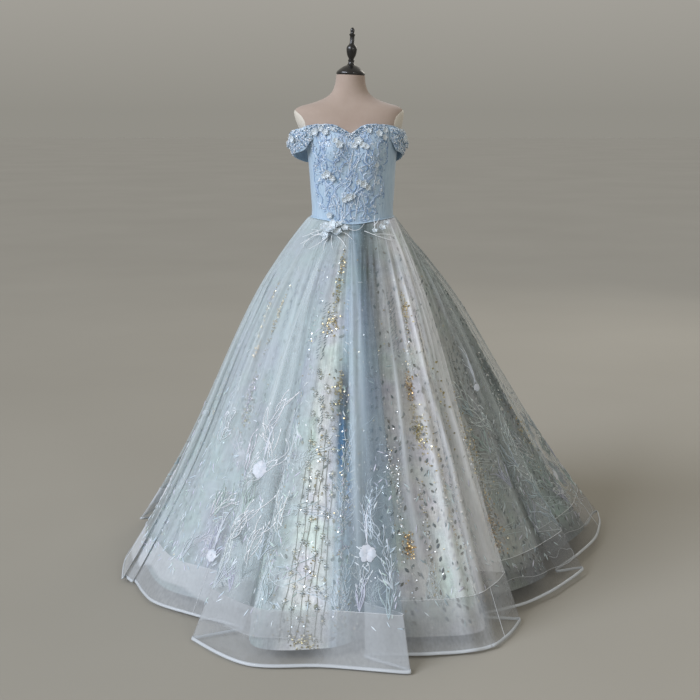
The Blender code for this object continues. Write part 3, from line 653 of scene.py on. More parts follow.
def gathers(share, level):
    """Rise of the gathers, pleats and flutes over the cloth."""
    full = from_table(counted(share), FULLNESS)
    fine = np.cos(2 * math.pi * pull(share)) + 0.3 * np.cos(4 * math.pi * pull(share) + 1)
    fine_end = 0.10 + 0.05 * np.clip(uneven(share, 40, 5), -1.2, 1.6)
    depth = 0.0016 * np.exp(-level / fine_end) * (1 - 0.4 * np.clip(uneven(share, 30, 7), -1, 1))
    pleat = np.cos(2 * math.pi * (PLEATS * share + 0.45 * uneven(share, 14, 11)))
    pleat = np.sign(pleat) * abs(pleat) ** 1.3
    pleat_end = 0.36 + 0.17 * np.clip(uneven(share, 20, 13), -1.3, 1.6)
    deep = 0.0034 * full * (1 + 0.5 * np.clip(uneven(share, 26, 17), -1.2, 1.5))
    pleats = pleat * deep * ramp(level, 0.01, 0.12) * (1 - ramp(level, pleat_end * 0.6, pleat_end * 1.7))
    flute = np.sin(2 * math.pi * (FLUTES * share + 0.5 * uneven(share, 9, 19)))
    flutes = flute * 0.0050 * full * ramp(level, 0.12, 0.55) * (1 + 0.4 * np.clip(
        uneven(share, 12, 23), -1, 1))
    return fine * depth + pleats + flutes * (1 - 0.35 * ramp(level, 0.8, 1.0))


# Long soft folds, given one by one: count and level of the top and the foot, half width and
# depth in metres. Ridges are positive and troughs negative; those behind are like the ones in front.
FOLDS = (
    (8.15, 0.05, 8.72, 0.70, 0.009, 0.009), (8.45, 0.05, 8.90, 0.60, 0.008, -0.007),
    (8.65, 0.06, 9.12, 0.72, 0.009, 0.009), (8.95, 0.10, 9.40, 0.84, 0.010, -0.008),
    (9.30, 0.10, 9.75, 0.90, 0.011, 0.009), (7.30, 0.08, 7.55, 0.66, 0.011, 0.006),
    (6.60, 0.06, 6.90, 0.58, 0.012, -0.006), (7.80, 0.30, 8.10, 0.92, 0.012, 0.007),
    (2.35, 0.05, 2.36, 0.90, 0.012, 0.007), (3.08, 0.04, 3.13, 0.80, 0.012, -0.012),
    (3.42, 0.06, 3.36, 0.92, 0.014, 0.011), (4.10, 0.06, 3.95, 0.85, 0.012, 0.006),
    (1.74, 0.05, 2.10, 0.62, 0.012, -0.008), (1.30, 0.04, 0.95, 0.78, 0.016, 0.008),
    (62.1, 0.06, 61.7, 0.92, 0.012, 0.010), (62.5, 0.05, 62.4, 0.60, 0.010, -0.008),
    (63.3, 0.05, 63.5, 0.70, 0.014, 0.006), (58.8, 0.06, 58.0, 0.85, 0.014, 0.009),
    (57.6, 0.08, 56.6, 0.70, 0.011, -0.008), (55.8, 0.06, 55.2, 0.90, 0.013, 0.009),
    (14.3, 0.08, 15.6, 0.74, 0.012, 0.009), (15.6, 0.06, 16.2, 0.84, 0.012, -0.008),
    (20.2, 0.06, 20.9, 0.86, 0.013, 0.010), (21.4, 0.08, 21.9, 0.70, 0.011, -0.008),
    (26.0, 0.06, 26.4, 0.80, 0.013, 0.009), (27.3, 0.06, 27.6, 0.90, 0.012, 0.008),
    (32.2, 0.08, 32.6, 0.76, 0.013, -0.008), (33.1, 0.05, 33.5, 0.88, 0.013, 0.009),
    (38.2, 0.06, 38.5, 0.72, 0.012, 0.009), (39.4, 0.06, 39.1, 0.84, 0.013, -0.008),
    (44.2, 0.05, 44.4, 0.90, 0.014, 0.009), (45.4, 0.08, 45.2, 0.70, 0.012, 0.008),
    (50.3, 0.06, 50.2, 0.82, 0.013, -0.009), (51.3, 0.06, 51.5, 0.76, 0.013, 0.009),
)


def hand_folds(places, count, level):
    """Rise of the listed folds over a grid of plain places."""
    width = np.linalg.norm(np.gradient(places, axis=1), axis=-1) / np.gradient(count, axis=1)
    total = np.zeros(level.shape)
    for top, start, foot, end, half, depth in FOLDS:
        share = np.clip((level - start) / (end - start), -0.2, 1.2)
        middle = top + (foot - top) * share + 0.05 * np.sin(share * 5 + top)
        spread = half * (0.55 + 0.9 * np.clip(share, 0, 1))
        fade = ramp(share, 0.0, 0.22) * (1 - ramp(share, 0.7, 1.0))
        total += depth * fade * bell(apart(count, middle) * width, spread)
    return total


COLUMNS, EDGE_ROW, BAND_ROW = 1080, 2, 18        # rows are counted up from the hem
counts, gore_columns = spaced(COLUMNS, SEAMS, dense)
shares = np.interp(counts, dense, length)
levels = np.concatenate((
    (0.0, 0.0015, 0.004, 0.008), np.linspace(0.014, 0.10, 12), np.linspace(0.11, BAND_LEVEL, 64),
    np.linspace(BAND_LEVEL, EDGE_LEVEL, BAND_ROW - EDGE_ROW + 1)[1:],
    np.linspace(EDGE_LEVEL, 1.0, EDGE_ROW + 1)[1:]))[::-1]
count_grid, level_grid = np.meshgrid(counts, levels)
share_grid = np.meshgrid(shares, levels)[0]
plain = layer_point(hem_points, waist_points, count_grid, level_grid, WAIST_OUT, 0)
CLEAR = ((0.0, 0.0020), (0.03, 0.0036), (0.08, 0.0060), (0.16, 0.0076), (0.42, 0.0084), (1.0, 0.0100))
clear = from_table(level_grid, CLEAR) * 0.55   # the organza may sink in by this much
rise = gathers(share_grid, level_grid) + hand_folds(plain, count_grid, level_grid)
rise = np.where(rise < 0, -clear * np.tanh(-rise / clear), rise)
rise -= 0.0042 * np.exp(-level_grid / 0.0022)        # the top is turned in to the waist seam
rise -= 0.35 * rise * ramp(level_grid, 0.93, 1.0)
outward = Cloth(plain).normals
overskirt = Cloth(plain + outward * rise[..., None], plain)


def spot(count, level, at_counts=counts, at_levels=levels):
    """Column and row of a layer at a count of control points and a level."""
    count = at_counts[0] + (np.asarray(count, float) - at_counts[0]) % AROUND
    return (np.interp(count, at_counts, np.arange(len(at_counts))),
            np.interp(-np.asarray(level, float), -at_levels, np.arange(len(at_levels))))


# ---- The embroidered underskirt ------------------------------------------------------------
# Five gores of glitter tulle over an opaque lining, embroidered in one piece 1 mm thick. It is
# dyed and beaded in broad strips: pale blue, one ivory strip in front, grey-lilac on the right.
# The strips' colours also carry painted shade in the deep folds and painted light.
# Painted shade: the dark blue-grey from count 5.3 to 7.0 is shade in the deep fold there. Painted light:
# the near-white from 8.6 to 13.5 lights the side turned from the sun.
TULLE_TINTS_SHADE_AND_LIGHT = (                    # count of control points, colour of the tulle there, with painted shade and light
    (-2.0, "AABABF"), (0.3, "A6B5BA"), (1.2, "A4B2B6"), (2.05, "A8B5B9"), (2.28, "BFC9CC"),
    (2.40, "ECEFEE"), (2.88, "E4E8E9"), (3.06, "D3DCE1"), (3.25, "AEC3D1"), (3.60, "A3BBCB"),
    (4.0, "A0B8C8"), (4.5, "95ACBB"), (5.3, "8094A1"), (6.0, "57656E"), (6.6, "535D64"), (7.0, "7B8184"),
    (7.4, "8E9394"), (7.7, "B2B3B1"), (8.1, "B0AEA9"), (8.6, "DADAD8"), (9.3, "EEEFF1"), (12.4, "ECEEF0"),
    (13.5, "E2E5E6"), (13.9, "C2C6C4"), (14.3, "A4A8A2"), (15.2, "8E9594"), (16.5, "8C9495"),
    (20.0, "919B99"), (23.0, "9EA8AA"), (28.0, "9DA9AF"), (33.0, "9FABB3"), (44.0, "A6B3BB"),
    (55.0, "ACB8BC"), (64.0, "AABABF"), (68.3, "A6B5BA"),
)
# The dark grey patches are painted shade, the near-white ones painted light, and the mint, lilac and blue
# ones dye.
DYE_SHADE_AND_LIGHT_PATCHES = (                     # patches of dye, of painted shade and of painted light: count, level, half sizes in both, colour, strength
    (3.45, 0.43, 0.50, 0.075, "414E54", 1.7), (3.50, 0.535, 0.50, 0.065, "366A93", 1.7),
    (4.40, 0.64, 0.45, 0.06, "8CB2D8", 0.7), (5.30, 0.38, 0.90, 0.20, "AFC0C8", 0.7),
    (3.50, 0.82, 0.35, 0.10, "C2D3DF", 0.5), (3.00, 0.12, 0.20, 0.12, "7F8C90", 0.7),
    (7.50, 0.12, 0.40, 0.10, "6F7476", 0.6), (8.10, 0.28, 0.35, 0.20, "878681", 0.75),
    (5.40, 0.27, 0.60, 0.07, "BCC7CD", 0.8), (63.6, 0.54, 0.60, 0.08, "9AA7AE", 0.8),
    (8.90, 0.54, 0.50, 0.14, "C9CACB", 0.6), (7.65, 0.84, 0.25, 0.12, "D0D3D2", 0.7),
    (3.50, 0.87, 0.40, 0.07, "D5E2EA", 0.7), (9.40, 0.30, 0.60, 0.12, "F8F9FA", 0.8),
    (14.6, 0.47, 0.30, 0.10, "A9B0B2", 0.7), (10.0, 0.86, 1.20, 0.10, "F6F7F8", 0.8),
    (2.96, 0.26, 0.12, 0.14, "98A5A9", 0.75), (8.15, 0.33, 0.25, 0.08, "98968F", 0.5),
    (2.63, 0.11, 0.28, 0.13, "9BA8AA", 0.9), (2.46, 0.30, 0.10, 0.10, "AAB3B2", 0.7),
    (4.00, 0.09, 0.80, 0.07, "737B78", 0.6), (6.50, 0.09, 1.20, 0.07, "6F7776", 0.6),
    (8.50, 0.09, 0.60, 0.06, "6E6C69", 0.5), (62.0, 0.30, 0.50, 0.20, "8F9698", 0.5),
    (62.9, 0.55, 0.40, 0.08, "8D949A", 0.6), (20.8, 0.52, 0.80, 0.12, "666E70", 0.6),
    (2.40, 0.925, 0.30, 0.04, "A9B2B8", 0.6), (1.28, 0.55, 0.30, 0.06, "C4C6DA", 0.7),
    (62.8, 0.84, 0.40, 0.07, "BBB5CC", 0.7), (2.86, 0.62, 0.08, 0.12, "D3D5E2", 0.8),
    (14.4, 0.30, 0.80, 0.10, "9A9C9A", 0.5), (62.7, 0.945, 0.35, 0.03, "A2CCBE", 0.8),
    (1.50, 0.70, 0.35, 0.06, "B2D0CB", 0.6), (2.42, 0.52, 0.07, 0.08, "C4DACF", 0.7),
    (8.75, 0.86, 0.30, 0.06, "A9C2BC", 0.6), (20.3, 0.90, 0.35, 0.07, "98B3AC", 0.7),
    (10.1, 0.48, 0.14, 0.05, "7CA6B6", 0.6), (10.4, 0.70, 0.10, 0.07, "9DB9C4", 0.6),
    (13.95, 0.80, 0.18, 0.12, "665E50", 0.75), (8.27, 0.45, 0.12, 0.06, "9A9078", 0.6),
    (20.3, 0.47, 0.60, 0.08, "495254", 0.75), (15.6, 0.38, 0.60, 0.10, "70777A", 0.6),
    (14.4, 0.50, 0.25, 0.08, "7B7A70", 0.5), (0.50, 0.42, 0.60, 0.14, "9DB6C6", 0.5),
    (65.0, 0.90, 0.50, 0.05, "B9CFCC", 0.6), (4.00, 0.62, 0.20, 0.08, "A3B9B4", 0.5),
    (7.60, 0.72, 0.25, 0.10, "A4B9B3", 0.5), (9.50, 0.62, 0.20, 0.12, "C0BDD0", 0.6),
    (61.6, 0.55, 0.30, 0.12, "9AB3C4", 0.5),
)


def tint_at(count, table):
    """Colours round the skirt, blended between the table's counts."""
    at = np.array([row[0] for row in table])
    colours = np.array([srgb(row[1]) for row in table])
    count = at[0] + (np.asarray(count) - at[0]) % AROUND
    return np.stack([np.interp(count, at, colours[:, k]) for k in range(4)], -1)


def with_back(table, shift):
    """The rows of a table, and all of them again behind, this many counts further round."""
    return table + tuple((row[0] + shift, *row[1:]) for row in table)


def from_left(count):
    """The same counts between -2, left of the front, and 64."""
    return (count + 2) % AROUND - 2


UNDER_COLUMNS = 660
under_count = np.array(under_count, float)
twice_round = np.concatenate((under_count, under_count + AROUND, under_count[:1] + 2 * AROUND))
under_dense = np.interp(dense, twice_round, np.arange(len(twice_round)))
under_cols, under_gores = spaced(UNDER_COLUMNS, [3 * lobe + 2 for lobe in (1, 3, 5, 7, 9)], under_dense)
under_levels = np.concatenate((np.linspace(0, 0.12, 14), np.linspace(0.135, TULLE_END, 48)))[::-1]
under_grid, under_level = np.meshgrid(under_cols, under_levels)
under_plain = layer_point(under_points, under_waist, under_grid, under_level, TULLE_OUT, TULLE_DROP)
outer_count = np.interp(under_cols, under_dense, dense)
outer_grid = np.meshgrid(outer_count, under_levels)[0]
outer_share = np.meshgrid(np.interp(under_cols, under_dense, length), under_levels)[0]
sway = gathers(outer_share, under_level) * 0.5
sway = np.clip(sway, -0.004, 0.0012) * ramp(under_level, 0.02, 0.1)
underskirt = Cloth(under_plain + Cloth(under_plain).normals * sway[..., None], under_plain)

# Glitter tulle: stiff net over lining, closely worked in pale thread. Its tint comes from the
# strips, which also carry painted shade and painted light, with mint and lilac in patches. Soft
# strokes of thread, some 10 mm wide, follow its own UVs, and specks of glitter, 2 mm across, lie
# here and there.
tulle, tree, surface = new_finish("embroidered glitter tulle", "AEBDC6", 0.62, Sheen_Weight=0.15,
                                  Specular_IOR_Level=0.4)
tint = add(tree, "Attribute", attribute_name="tint")
place = add(tree, "TexCoord").outputs["Object"]
for moved, hue, most in (((7.3, 2.1, 4.4), "B2D2C6", 0.40), ((1.9, 8.6, 3.1), "C3BEDB", 0.38)):
    area = add(tree, "Mapping", {"Vector": place, "Location": moved})      # mint and lilac threads
    patch = add(tree, "TexNoise", {"Vector": area, "Scale": 8, "Detail": 3})
    part = add(tree, "MapRange", {"Value": patch, "From Min": 0.47, "From Max": 0.63, "To Max": most})
    tint = add(tree, "Mix", {0: part, 6: tint, 7: srgb(hue)}, data_type="RGBA",
               blend_type="COLOR").outputs[2]
mottle = add(tree, "TexNoise", {"Vector": place, "Scale": 55, "Detail": 5, "Roughness": 0.7})
shade = add(tree, "MapRange", {"Value": mottle, "From Min": 0.3, "From Max": 0.7,
                               "To Min": 0.74, "To Max": 1.18})
strokes = add(tree, "Mapping", {"Vector": add(tree, "UVMap"), "Scale": (120, 15, 1)})
flow = add(tree, "TexNoise", {"Vector": strokes, "Scale": 1, "Detail": 4,
                              "Roughness": 0.6, "Distortion": 1.4})
sweep = add(tree, "MapRange", {"Value": flow, "From Min": 0.32, "From Max": 0.68,
                               "To Min": 0.80, "To Max": 1.20})
tones = add(tree, "Math", {0: shade, 1: sweep}, operation="MULTIPLY")
worked = add(tree, "Mix", {0: 1.0, 6: tint, 7: tones}, data_type="RGBA", blend_type="MULTIPLY")
specks = add(tree, "TexVoronoi", {"Vector": place, "Scale": 260})
glint = add(tree, "ValToRGB", {"Fac": specks}, stops=((0.10, "FFFFFF"), (0.22, "000000")))
few = add(tree, "TexNoise", {"Vector": place, "Scale": 120, "Detail": 1})
some = add(tree, "MapRange", {"Value": few, "From Min": 0.52, "From Max": 0.60})
lit = add(tree, "Math", {0: glint, 1: some}, operation="MULTIPLY")
bright = add(tree, "Mix", {0: lit, 6: worked.outputs[2], 7: srgb("EEF2F2")}, data_type="RGBA")
tree.links.new(bright.outputs[2], surface.inputs["Base Color"])
add(tree, "MapRange", {"Value": lit, "To Min": 0.65, "To Max": 0.25}, surface.inputs["Roughness"])
add(tree, "Bump", {"Height": mottle, "Strength": 0.35, "Distance": 0.0015}, surface.inputs["Normal"])

BORDER = (                   # count, strength of the net border, which is greyer than the rest
    (-2, 0.6), (2.3, 0.6), (2.5, 0.3), (3, 0.2), (4.5, 0.2), (6, 0.6), (10, 0.7), (14, 0.9), (30, 0.8),
    (56, 0.6), (68, 0.6),
)
border = ramp(under_level, 0.925, 0.93) * from_table(from_left(outer_grid), BORDER)
level_tone = (1 - 0.10 * ramp(1 - under_level, 0.75, 1.0)) * (1 - 0.5 * border)
under_tints = tint_at(outer_grid, TULLE_TINTS_SHADE_AND_LIGHT)
# Lays the dye patches, the painted shade and the painted light over the strips' colours.
for count, level, wide, high, text, strength in with_back(DYE_SHADE_AND_LIGHT_PATCHES, AROUND / 2):
    part = np.minimum(1, strength * bell(apart(outer_grid, count), wide) * bell(under_level - level, high))
    under_tints += (np.array(srgb(text)) - under_tints) * part[..., None]
under_tints *= level_tone[..., None]
under_tints[..., 3] = 1
UNDER_FLAT = (               # flat width at the hem, length and area of each gore
    (1.20, 1.13, 0.82), (1.25, 1.13, 0.81), (1.15, 1.13, 0.74), (1.10, 1.13, 0.70),
    (2.20, 1.13, 1.48))
underskirt_pieces = []
for number, (first, last, flat) in enumerate(zip(under_gores, under_gores[1:], UNDER_FLAT), 1):
    cut = slice(first, last + 1)
    gore = new_sheet(f"embroidered_tulle_{number}", underskirt.places[:, cut])
    paint(gore, "tint", under_tints[:, cut])
    underskirt_pieces.append((fit(gore, tulle, f"tulle_gore_{number}"), flat))

# ---- Embroidery, beads and sequins on the underskirt ---------------------------------------
# Worked on the net before it is sewn up: rows of small leaves in dark thread, pale fronds, and
# sequins and beads in clusters and lines. The work seen in front is repeated behind.


def under_spot(count, level):
    """Column and row of the underskirt, by the overskirt's count and the level."""
    return spot(count, level, outer_count, under_levels)


def strew(name, shape, cloth, columns, rows, turn, size, rise, colours, finish, slot):
    """Sews copies of a small shape to a cloth as one mesh: corners over size, z off the cloth."""
    corners, *groups = shape
    columns, rows, turn, size, rise = np.broadcast_arrays(columns, rows, turn, size, rise)
    x, y, z = (corners[None, :, k] * size[:, None] for k in range(3))
    cos, sin = np.cos(turn)[:, None], np.sin(turn)[:, None]
    at = cloth.moved(columns[:, None] * 1.0, rows[:, None] * 1.0, x * cos - y * sin, x * sin + y * cos)
    places = cloth.lay(*at, z + rise[:, None])
    shift = (np.arange(len(places)) * len(corners))[:, None, None]
    groups = [(np.asarray(g)[None] + shift).reshape(-1, np.shape(g)[1]) for g in groups]
    piece = joined(name, places.reshape(-1, 3), *groups)
    paint(piece, "tint", np.repeat(colours, len(corners), axis=0))
    fit(piece, finish)


def scatter(name, shape, cloth, columns, rows, least, more, rise, colours, finish, slot):
    """Strews a shape turned every way. Colours are hex values to draw from, or one for each."""
    number = len(columns)
    turn, size = draw.random(number) * 6.28, least + more * draw.random(number)
    if isinstance(colours, tuple):
        colours = pick(colours, draw.random(number))
    strew(name, shape, cloth, columns, rows, turn, size, rise, colours, finish, slot)


def pick(table, chances):
    """Linear colours, one for each chance in 0 to 1, drawn from a table of hex values."""
    colours = np.array([srgb(text) for text in table])
    return colours[np.minimum((np.asarray(chances) * len(table)).astype(int), len(table) - 1)]


LEAF = (np.array(((0, .5, 0), (.17, .24, .02), (.24, -.05, .02), (.14, -.33, .02), (0, -.5, 0),
                  (-.14, -.33, .02), (-.24, -.05, .02), (-.17, .24, .02), (0, .2, .13), (0, -.22, .13))),
        np.array(((0, 7, 8), (8, 1, 0), (4, 3, 9), (9, 5, 4))),
        np.array(((7, 6, 9, 8), (8, 9, 2, 1))), np.array(((6, 5, 9), (9, 3, 2))))
SEQUIN = (np.array([(0, 0, .34)] + [(.5 * math.cos(a), .5 * math.sin(a), .24 * math.cos(a) + .25)
                                    for a in np.arange(6) * math.pi / 3]),
          np.array([(0, 1 + k, 1 + (k + 1) % 6) for k in range(6)]))
bpy.ops.object.select_all(action="DESELECT")
bpy.ops.mesh.primitive_ico_sphere_add(subdivisions=1, radius=0.5)
ball = bpy.context.object
BEAD = (np.array([v.co for v in ball.data.vertices]) + (0, 0, 0.4),
        np.array([p.vertices for p in ball.data.polygons]))
bpy.data.objects.remove(ball)


def place_spots(cloth, find, spots):
    """Columns and rows of spots, given as count, level and metres across and up from there."""
    return cloth.moved(*find(spots[:, 0], spots[:, 1]), spots[:, 2], spots[:, 3])


def narrow(width, height):
    """The leaf, made narrower and flatter."""
    return (LEAF[0] * (width, 1, height), *LEAF[1:])


# Polyester embroidery thread in satin stitch: bright, silky, its own colour at each motif. The
# 0.4 mm stitches are drawn at 1 mm.
thread, tree, surface = new_finish("embroidery thread", "8FA0A8", 0.38, Sheen_Weight=0.2)
add(tree, "Attribute", into=surface.inputs["Base Color"], attribute_name="tint")
place = add(tree, "TexCoord").outputs["Object"]
stitch = add(tree, "TexNoise", {"Vector": place, "Scale": 900, "Detail": 1})
add(tree, "Bump", {"Height": stitch, "Strength": 0.4, "Distance": 0.0004}, surface.inputs["Normal"])
# Sequins: vacuum-metallised plastic discs, bright gold, copper or silver, each tilted its way.
foil, tree, surface = new_finish("metallised sequins", "D9B65A", 0.27, Metallic=0.6,
                                 Coat_Weight=0.3, Coat_Roughness=0.1)
add(tree, "Attribute", into=surface.inputs["Base Color"], attribute_name="tint")
grain = add(tree, "TexNoise", {"Vector": add(tree, "TexCoord").outputs["Object"], "Scale": 1500})
add(tree, "Bump", {"Height": grain, "Strength": 0.2, "Distance": 0.0002}, surface.inputs["Normal"])
# Beads: cut glass and crystal, clear or tinted, with a hard bright coat.
glass, tree, surface = new_finish("cut glass beads", "E9EEF0", 0.08, IOR=1.6, Coat_Weight=0.6,
                                  Coat_Roughness=0.03)
add(tree, "Attribute", into=surface.inputs["Base Color"], attribute_name="tint")
facet = add(tree, "TexVoronoi", {"Vector": add(tree, "TexCoord").outputs["Object"], "Scale": 1100})
add(tree, "Bump", {"Height": facet, "Strength": 0.5, "Distance": 0.0006}, surface.inputs["Normal"])

# Rows of small leaves, either side of lines that run down the cloth. More lines start lower.
draw = np.random.default_rng(41)
LEAF_LINES, LEAF_GAP = 168, 0.0255       # lines round the hem, and level from leaf to leaf
LEAF_SHARE = (               # count, and how many of the leaves there are worked
    (-10, 0.30), (0, 0.22), (1.6, 0.22), (2.3, 0.20), (3.0, 0.25), (3.2, 0.30), (4.4, 0.35), (6.0, 0.55),
    (7.6, 0.60), (9.0, 0.95), (16, 0.95), (22, 0.85), (30, 0.5), (35, 0.7), (44, 0.6), (56, 0.30),
)
line, step = np.meshgrid(np.arange(LEAF_LINES), np.arange(0.05, 0.955, LEAF_GAP))
line, step = line.ravel(), step.ravel()
starts = np.array((0.0, 0.42, 0.2, 0.42))[line % 4] + 0.06 * np.sin(line * 2.4)
count = counted((line + 0.25 * np.sin(line * 1.7 + step * 9)) / LEAF_LINES)
wanted = (step > starts) & (draw.random(len(line)) < from_table(count, LEAF_SHARE))
line, step, count = line[wanted], step[wanted], count[wanted]
side = np.where((np.arange(len(line)) + line) % 2, 1.0, -1.0)
columns, rows = under_spot(count, step + 0.006 * draw.normal(size=len(step)))
over = side * (0.006 + 0.005 * step)
DARKNESS = ((-10, 0.25), (2.2, 0.3), (5.5, 0.5), (7, 0.95), (30, 0.9), (56, 0.3))
tone = from_table(count, DARKNESS)
chances = draw.random(len(line)) * 0.999
dark = pick(("47524F", "4E4E42", "49565A", "5C5748", "3C4A4C"), chances)
pale = pick(("7C919C", "84938E", "8D97A6", "78908F"), chances)
colours = pale + (dark - pale) * tone[:, None]
on_ivory = abs(count - 2.66) < 0.42
colours[on_ivory] = pick(("8C8F7C", "7C8684", "9C977E"), chances)[on_ivory]
strew("leaf_stitches", LEAF, underskirt, *underskirt.moved(columns, rows, over, 0 * over),
      side * -0.45 + 0.25 * draw.normal(size=len(line)),
      0.0105 + 0.005 * draw.random(len(line)) + 0.004 * step, 0.0006, colours, thread, "tulle")

# Combs of short slanting stitches: count, level, width and height in metres, lean, hex colour.
COMBS = (
    (2.32, 0.26, 0.030, 0.190, 0.75, "54676E"), (8.05, 0.25, 0.034, 0.200, 0.70, "4A5A60"),
    (2.60, 0.46, 0.024, 0.120, 0.60, "66777A"), (9.30, 0.30, 0.024, 0.150, 0.75, "4F5E62"),
    (14.3, 0.42, 0.030, 0.170, 0.80, "44565A"), (61.9, 0.24, 0.014, 0.150, 0.35, "4A6070"),
    (62.9, 0.22, 0.012, 0.150, 0.35, "74889A"), (16.2, 0.60, 0.030, 0.170, 0.80, "64787C"),
    (20.6, 0.50, 0.028, 0.180, 0.70, "6B7F86"), (10.1, 0.62, 0.018, 0.160, 0.60, "6E7B78"),
    (7.20, 0.42, 0.026, 0.110, 0.65, "78868A"), (61.5, 0.72, 0.012, 0.200, 0.30, "7C909C"),
)
COMB_STEP, COMB_ACROSS = 0.0085, 0.014   # metres from stitch to stitch
spots = []
for count, level, width, height, lean, text in with_back(COMBS, 33.4):
    for k in range(int(height / COMB_STEP)):
        down = k / int(height / COMB_STEP) - 0.5
        for j in range(max(1, int(width / COMB_ACROSS))):
            spots.append((count, level, (j + 0.5) * COMB_ACROSS - width / 2 + 0.002 * draw.normal(),
                          down * height + 0.001 * draw.normal(), -lean + 0.12 * draw.normal(),
                          *srgb(text)))
spots = np.array(spots)
strew("comb_stitches", narrow(0.42, 0.8), underskirt, *place_spots(underskirt, under_spot, spots),
      spots[:, 4], 0.0125, 0.0005, spots[:, 5:9], thread, "tulle")

# Sequin clusters: count, level, half width and height in metres, how many, colours.
GOLD = ("D8C79A", "C4B184", "ECE3C4", "A3936A")
AMBER = ("AE8A58", "C9A970", "7E6744", "DDC595")
OLIVE = ("A89C6E", "C6BB8C", "857C58")
SILVER = ("F4F6F6", "DCE6EA", "FFFFFF", "C8D6DC")
LILAC = ("D9D0E4", "C6BEDA", "F2EEF8", "B9C6DC")
CLUSTERS = (
    (2.67, 0.10, 0.005, 0.024, 34, GOLD), (2.53, 0.25, 0.013, 0.017, 60, GOLD),
    (3.00, 0.40, 0.009, 0.026, 90, OLIVE), (2.62, 0.17, 0.008, 0.050, 40, OLIVE),
    (62.0, 0.35, 0.006, 0.018, 50, AMBER), (62.45, 0.26, 0.004, 0.055, 60, GOLD),
    (62.35, 0.45, 0.010, 0.045, 70, LILAC), (62.5, 0.52, 0.012, 0.030, 40, OLIVE),
    (8.58, 0.22, 0.008, 0.026, 44, GOLD), (8.27, 0.41, 0.006, 0.022, 54, AMBER),
    (8.37, 0.52, 0.011, 0.020, 50, OLIVE), (8.62, 0.55, 0.010, 0.060, 36, GOLD),
    (7.83, 0.78, 0.008, 0.019, 80, AMBER), (10.45, 0.79, 0.007, 0.028, 80, AMBER),
    (10.1, 0.56, 0.008, 0.070, 80, GOLD), (9.30, 0.47, 0.010, 0.090, 90, OLIVE),
    (8.72, 0.67, 0.005, 0.040, 60, SILVER), (10.55, 0.66, 0.006, 0.080, 80, SILVER),
    (9.05, 0.70, 0.006, 0.090, 70, SILVER), (13.9, 0.58, 0.008, 0.070, 60, GOLD),
    (8.45, 0.30, 0.010, 0.060, 40, SILVER), (7.55, 0.60, 0.010, 0.060, 40, SILVER),
    (62.7, 0.80, 0.016, 0.060, 70, SILVER), (63.1, 0.70, 0.020, 0.060, 50, LILAC),
    (2.66, 0.955, 0.020, 0.014, 80, OLIVE), (65.4, 0.79, 0.020, 0.060, 40, SILVER),
    (16.0, 0.62, 0.014, 0.080, 50, SILVER), (20.6, 0.66, 0.012, 0.080, 50, GOLD),
    (14.0, 0.80, 0.010, 0.050, 50, AMBER), (4.00, 0.60, 0.010, 0.080, 30, SILVER),
    (59.0, 0.50, 0.010, 0.060, 40, GOLD), (57.5, 0.70, 0.012, 0.060, 40, SILVER),
    (1.00, 0.30, 0.012, 0.060, 26, SILVER), (13.2, 0.96, 0.012, 0.012, 40, AMBER),
)


def cluster(count, level, wide, high, number, most):
    """Spots about a place: its count and level, and the metres across and up from it."""
    return np.stack((np.full(number, count), np.full(number, level),
                     np.clip(draw.normal(size=number), -most, most) * wide,
                     np.clip(draw.normal(size=number), -2, 2) * high), -1)


spots, tints = [], []
for count, level, wide, high, number, colours in CLUSTERS + tuple(
        (c + 33.3 + 0.2 * math.sin(c * 7), *rest) for c, *rest in CLUSTERS):
    spots.append(cluster(count, level, wide, high, number, 2.2))
    tints.append(pick(colours, draw.random(number)))
spots, tints = np.concatenate(spots), np.concatenate(tints)
scatter("sequin_clusters", SEQUIN, underskirt, *place_spots(underskirt, under_spot, spots),
        0.0038, 0.0024, 0.0012, tints, foil, "tulle")

# Loose sequins, thinly over the whole cloth.
LOOSE = 3000
share, level = draw.random(LOOSE), 0.08 + 0.88 * np.sqrt(draw.random(LOOSE))
scatter("loose_sequins", SEQUIN, underskirt, *under_spot(np.interp(share, length, dense), level),
        0.0036, 0.0022, 0.0012, SILVER + SILVER + GOLD, foil, "tulle")

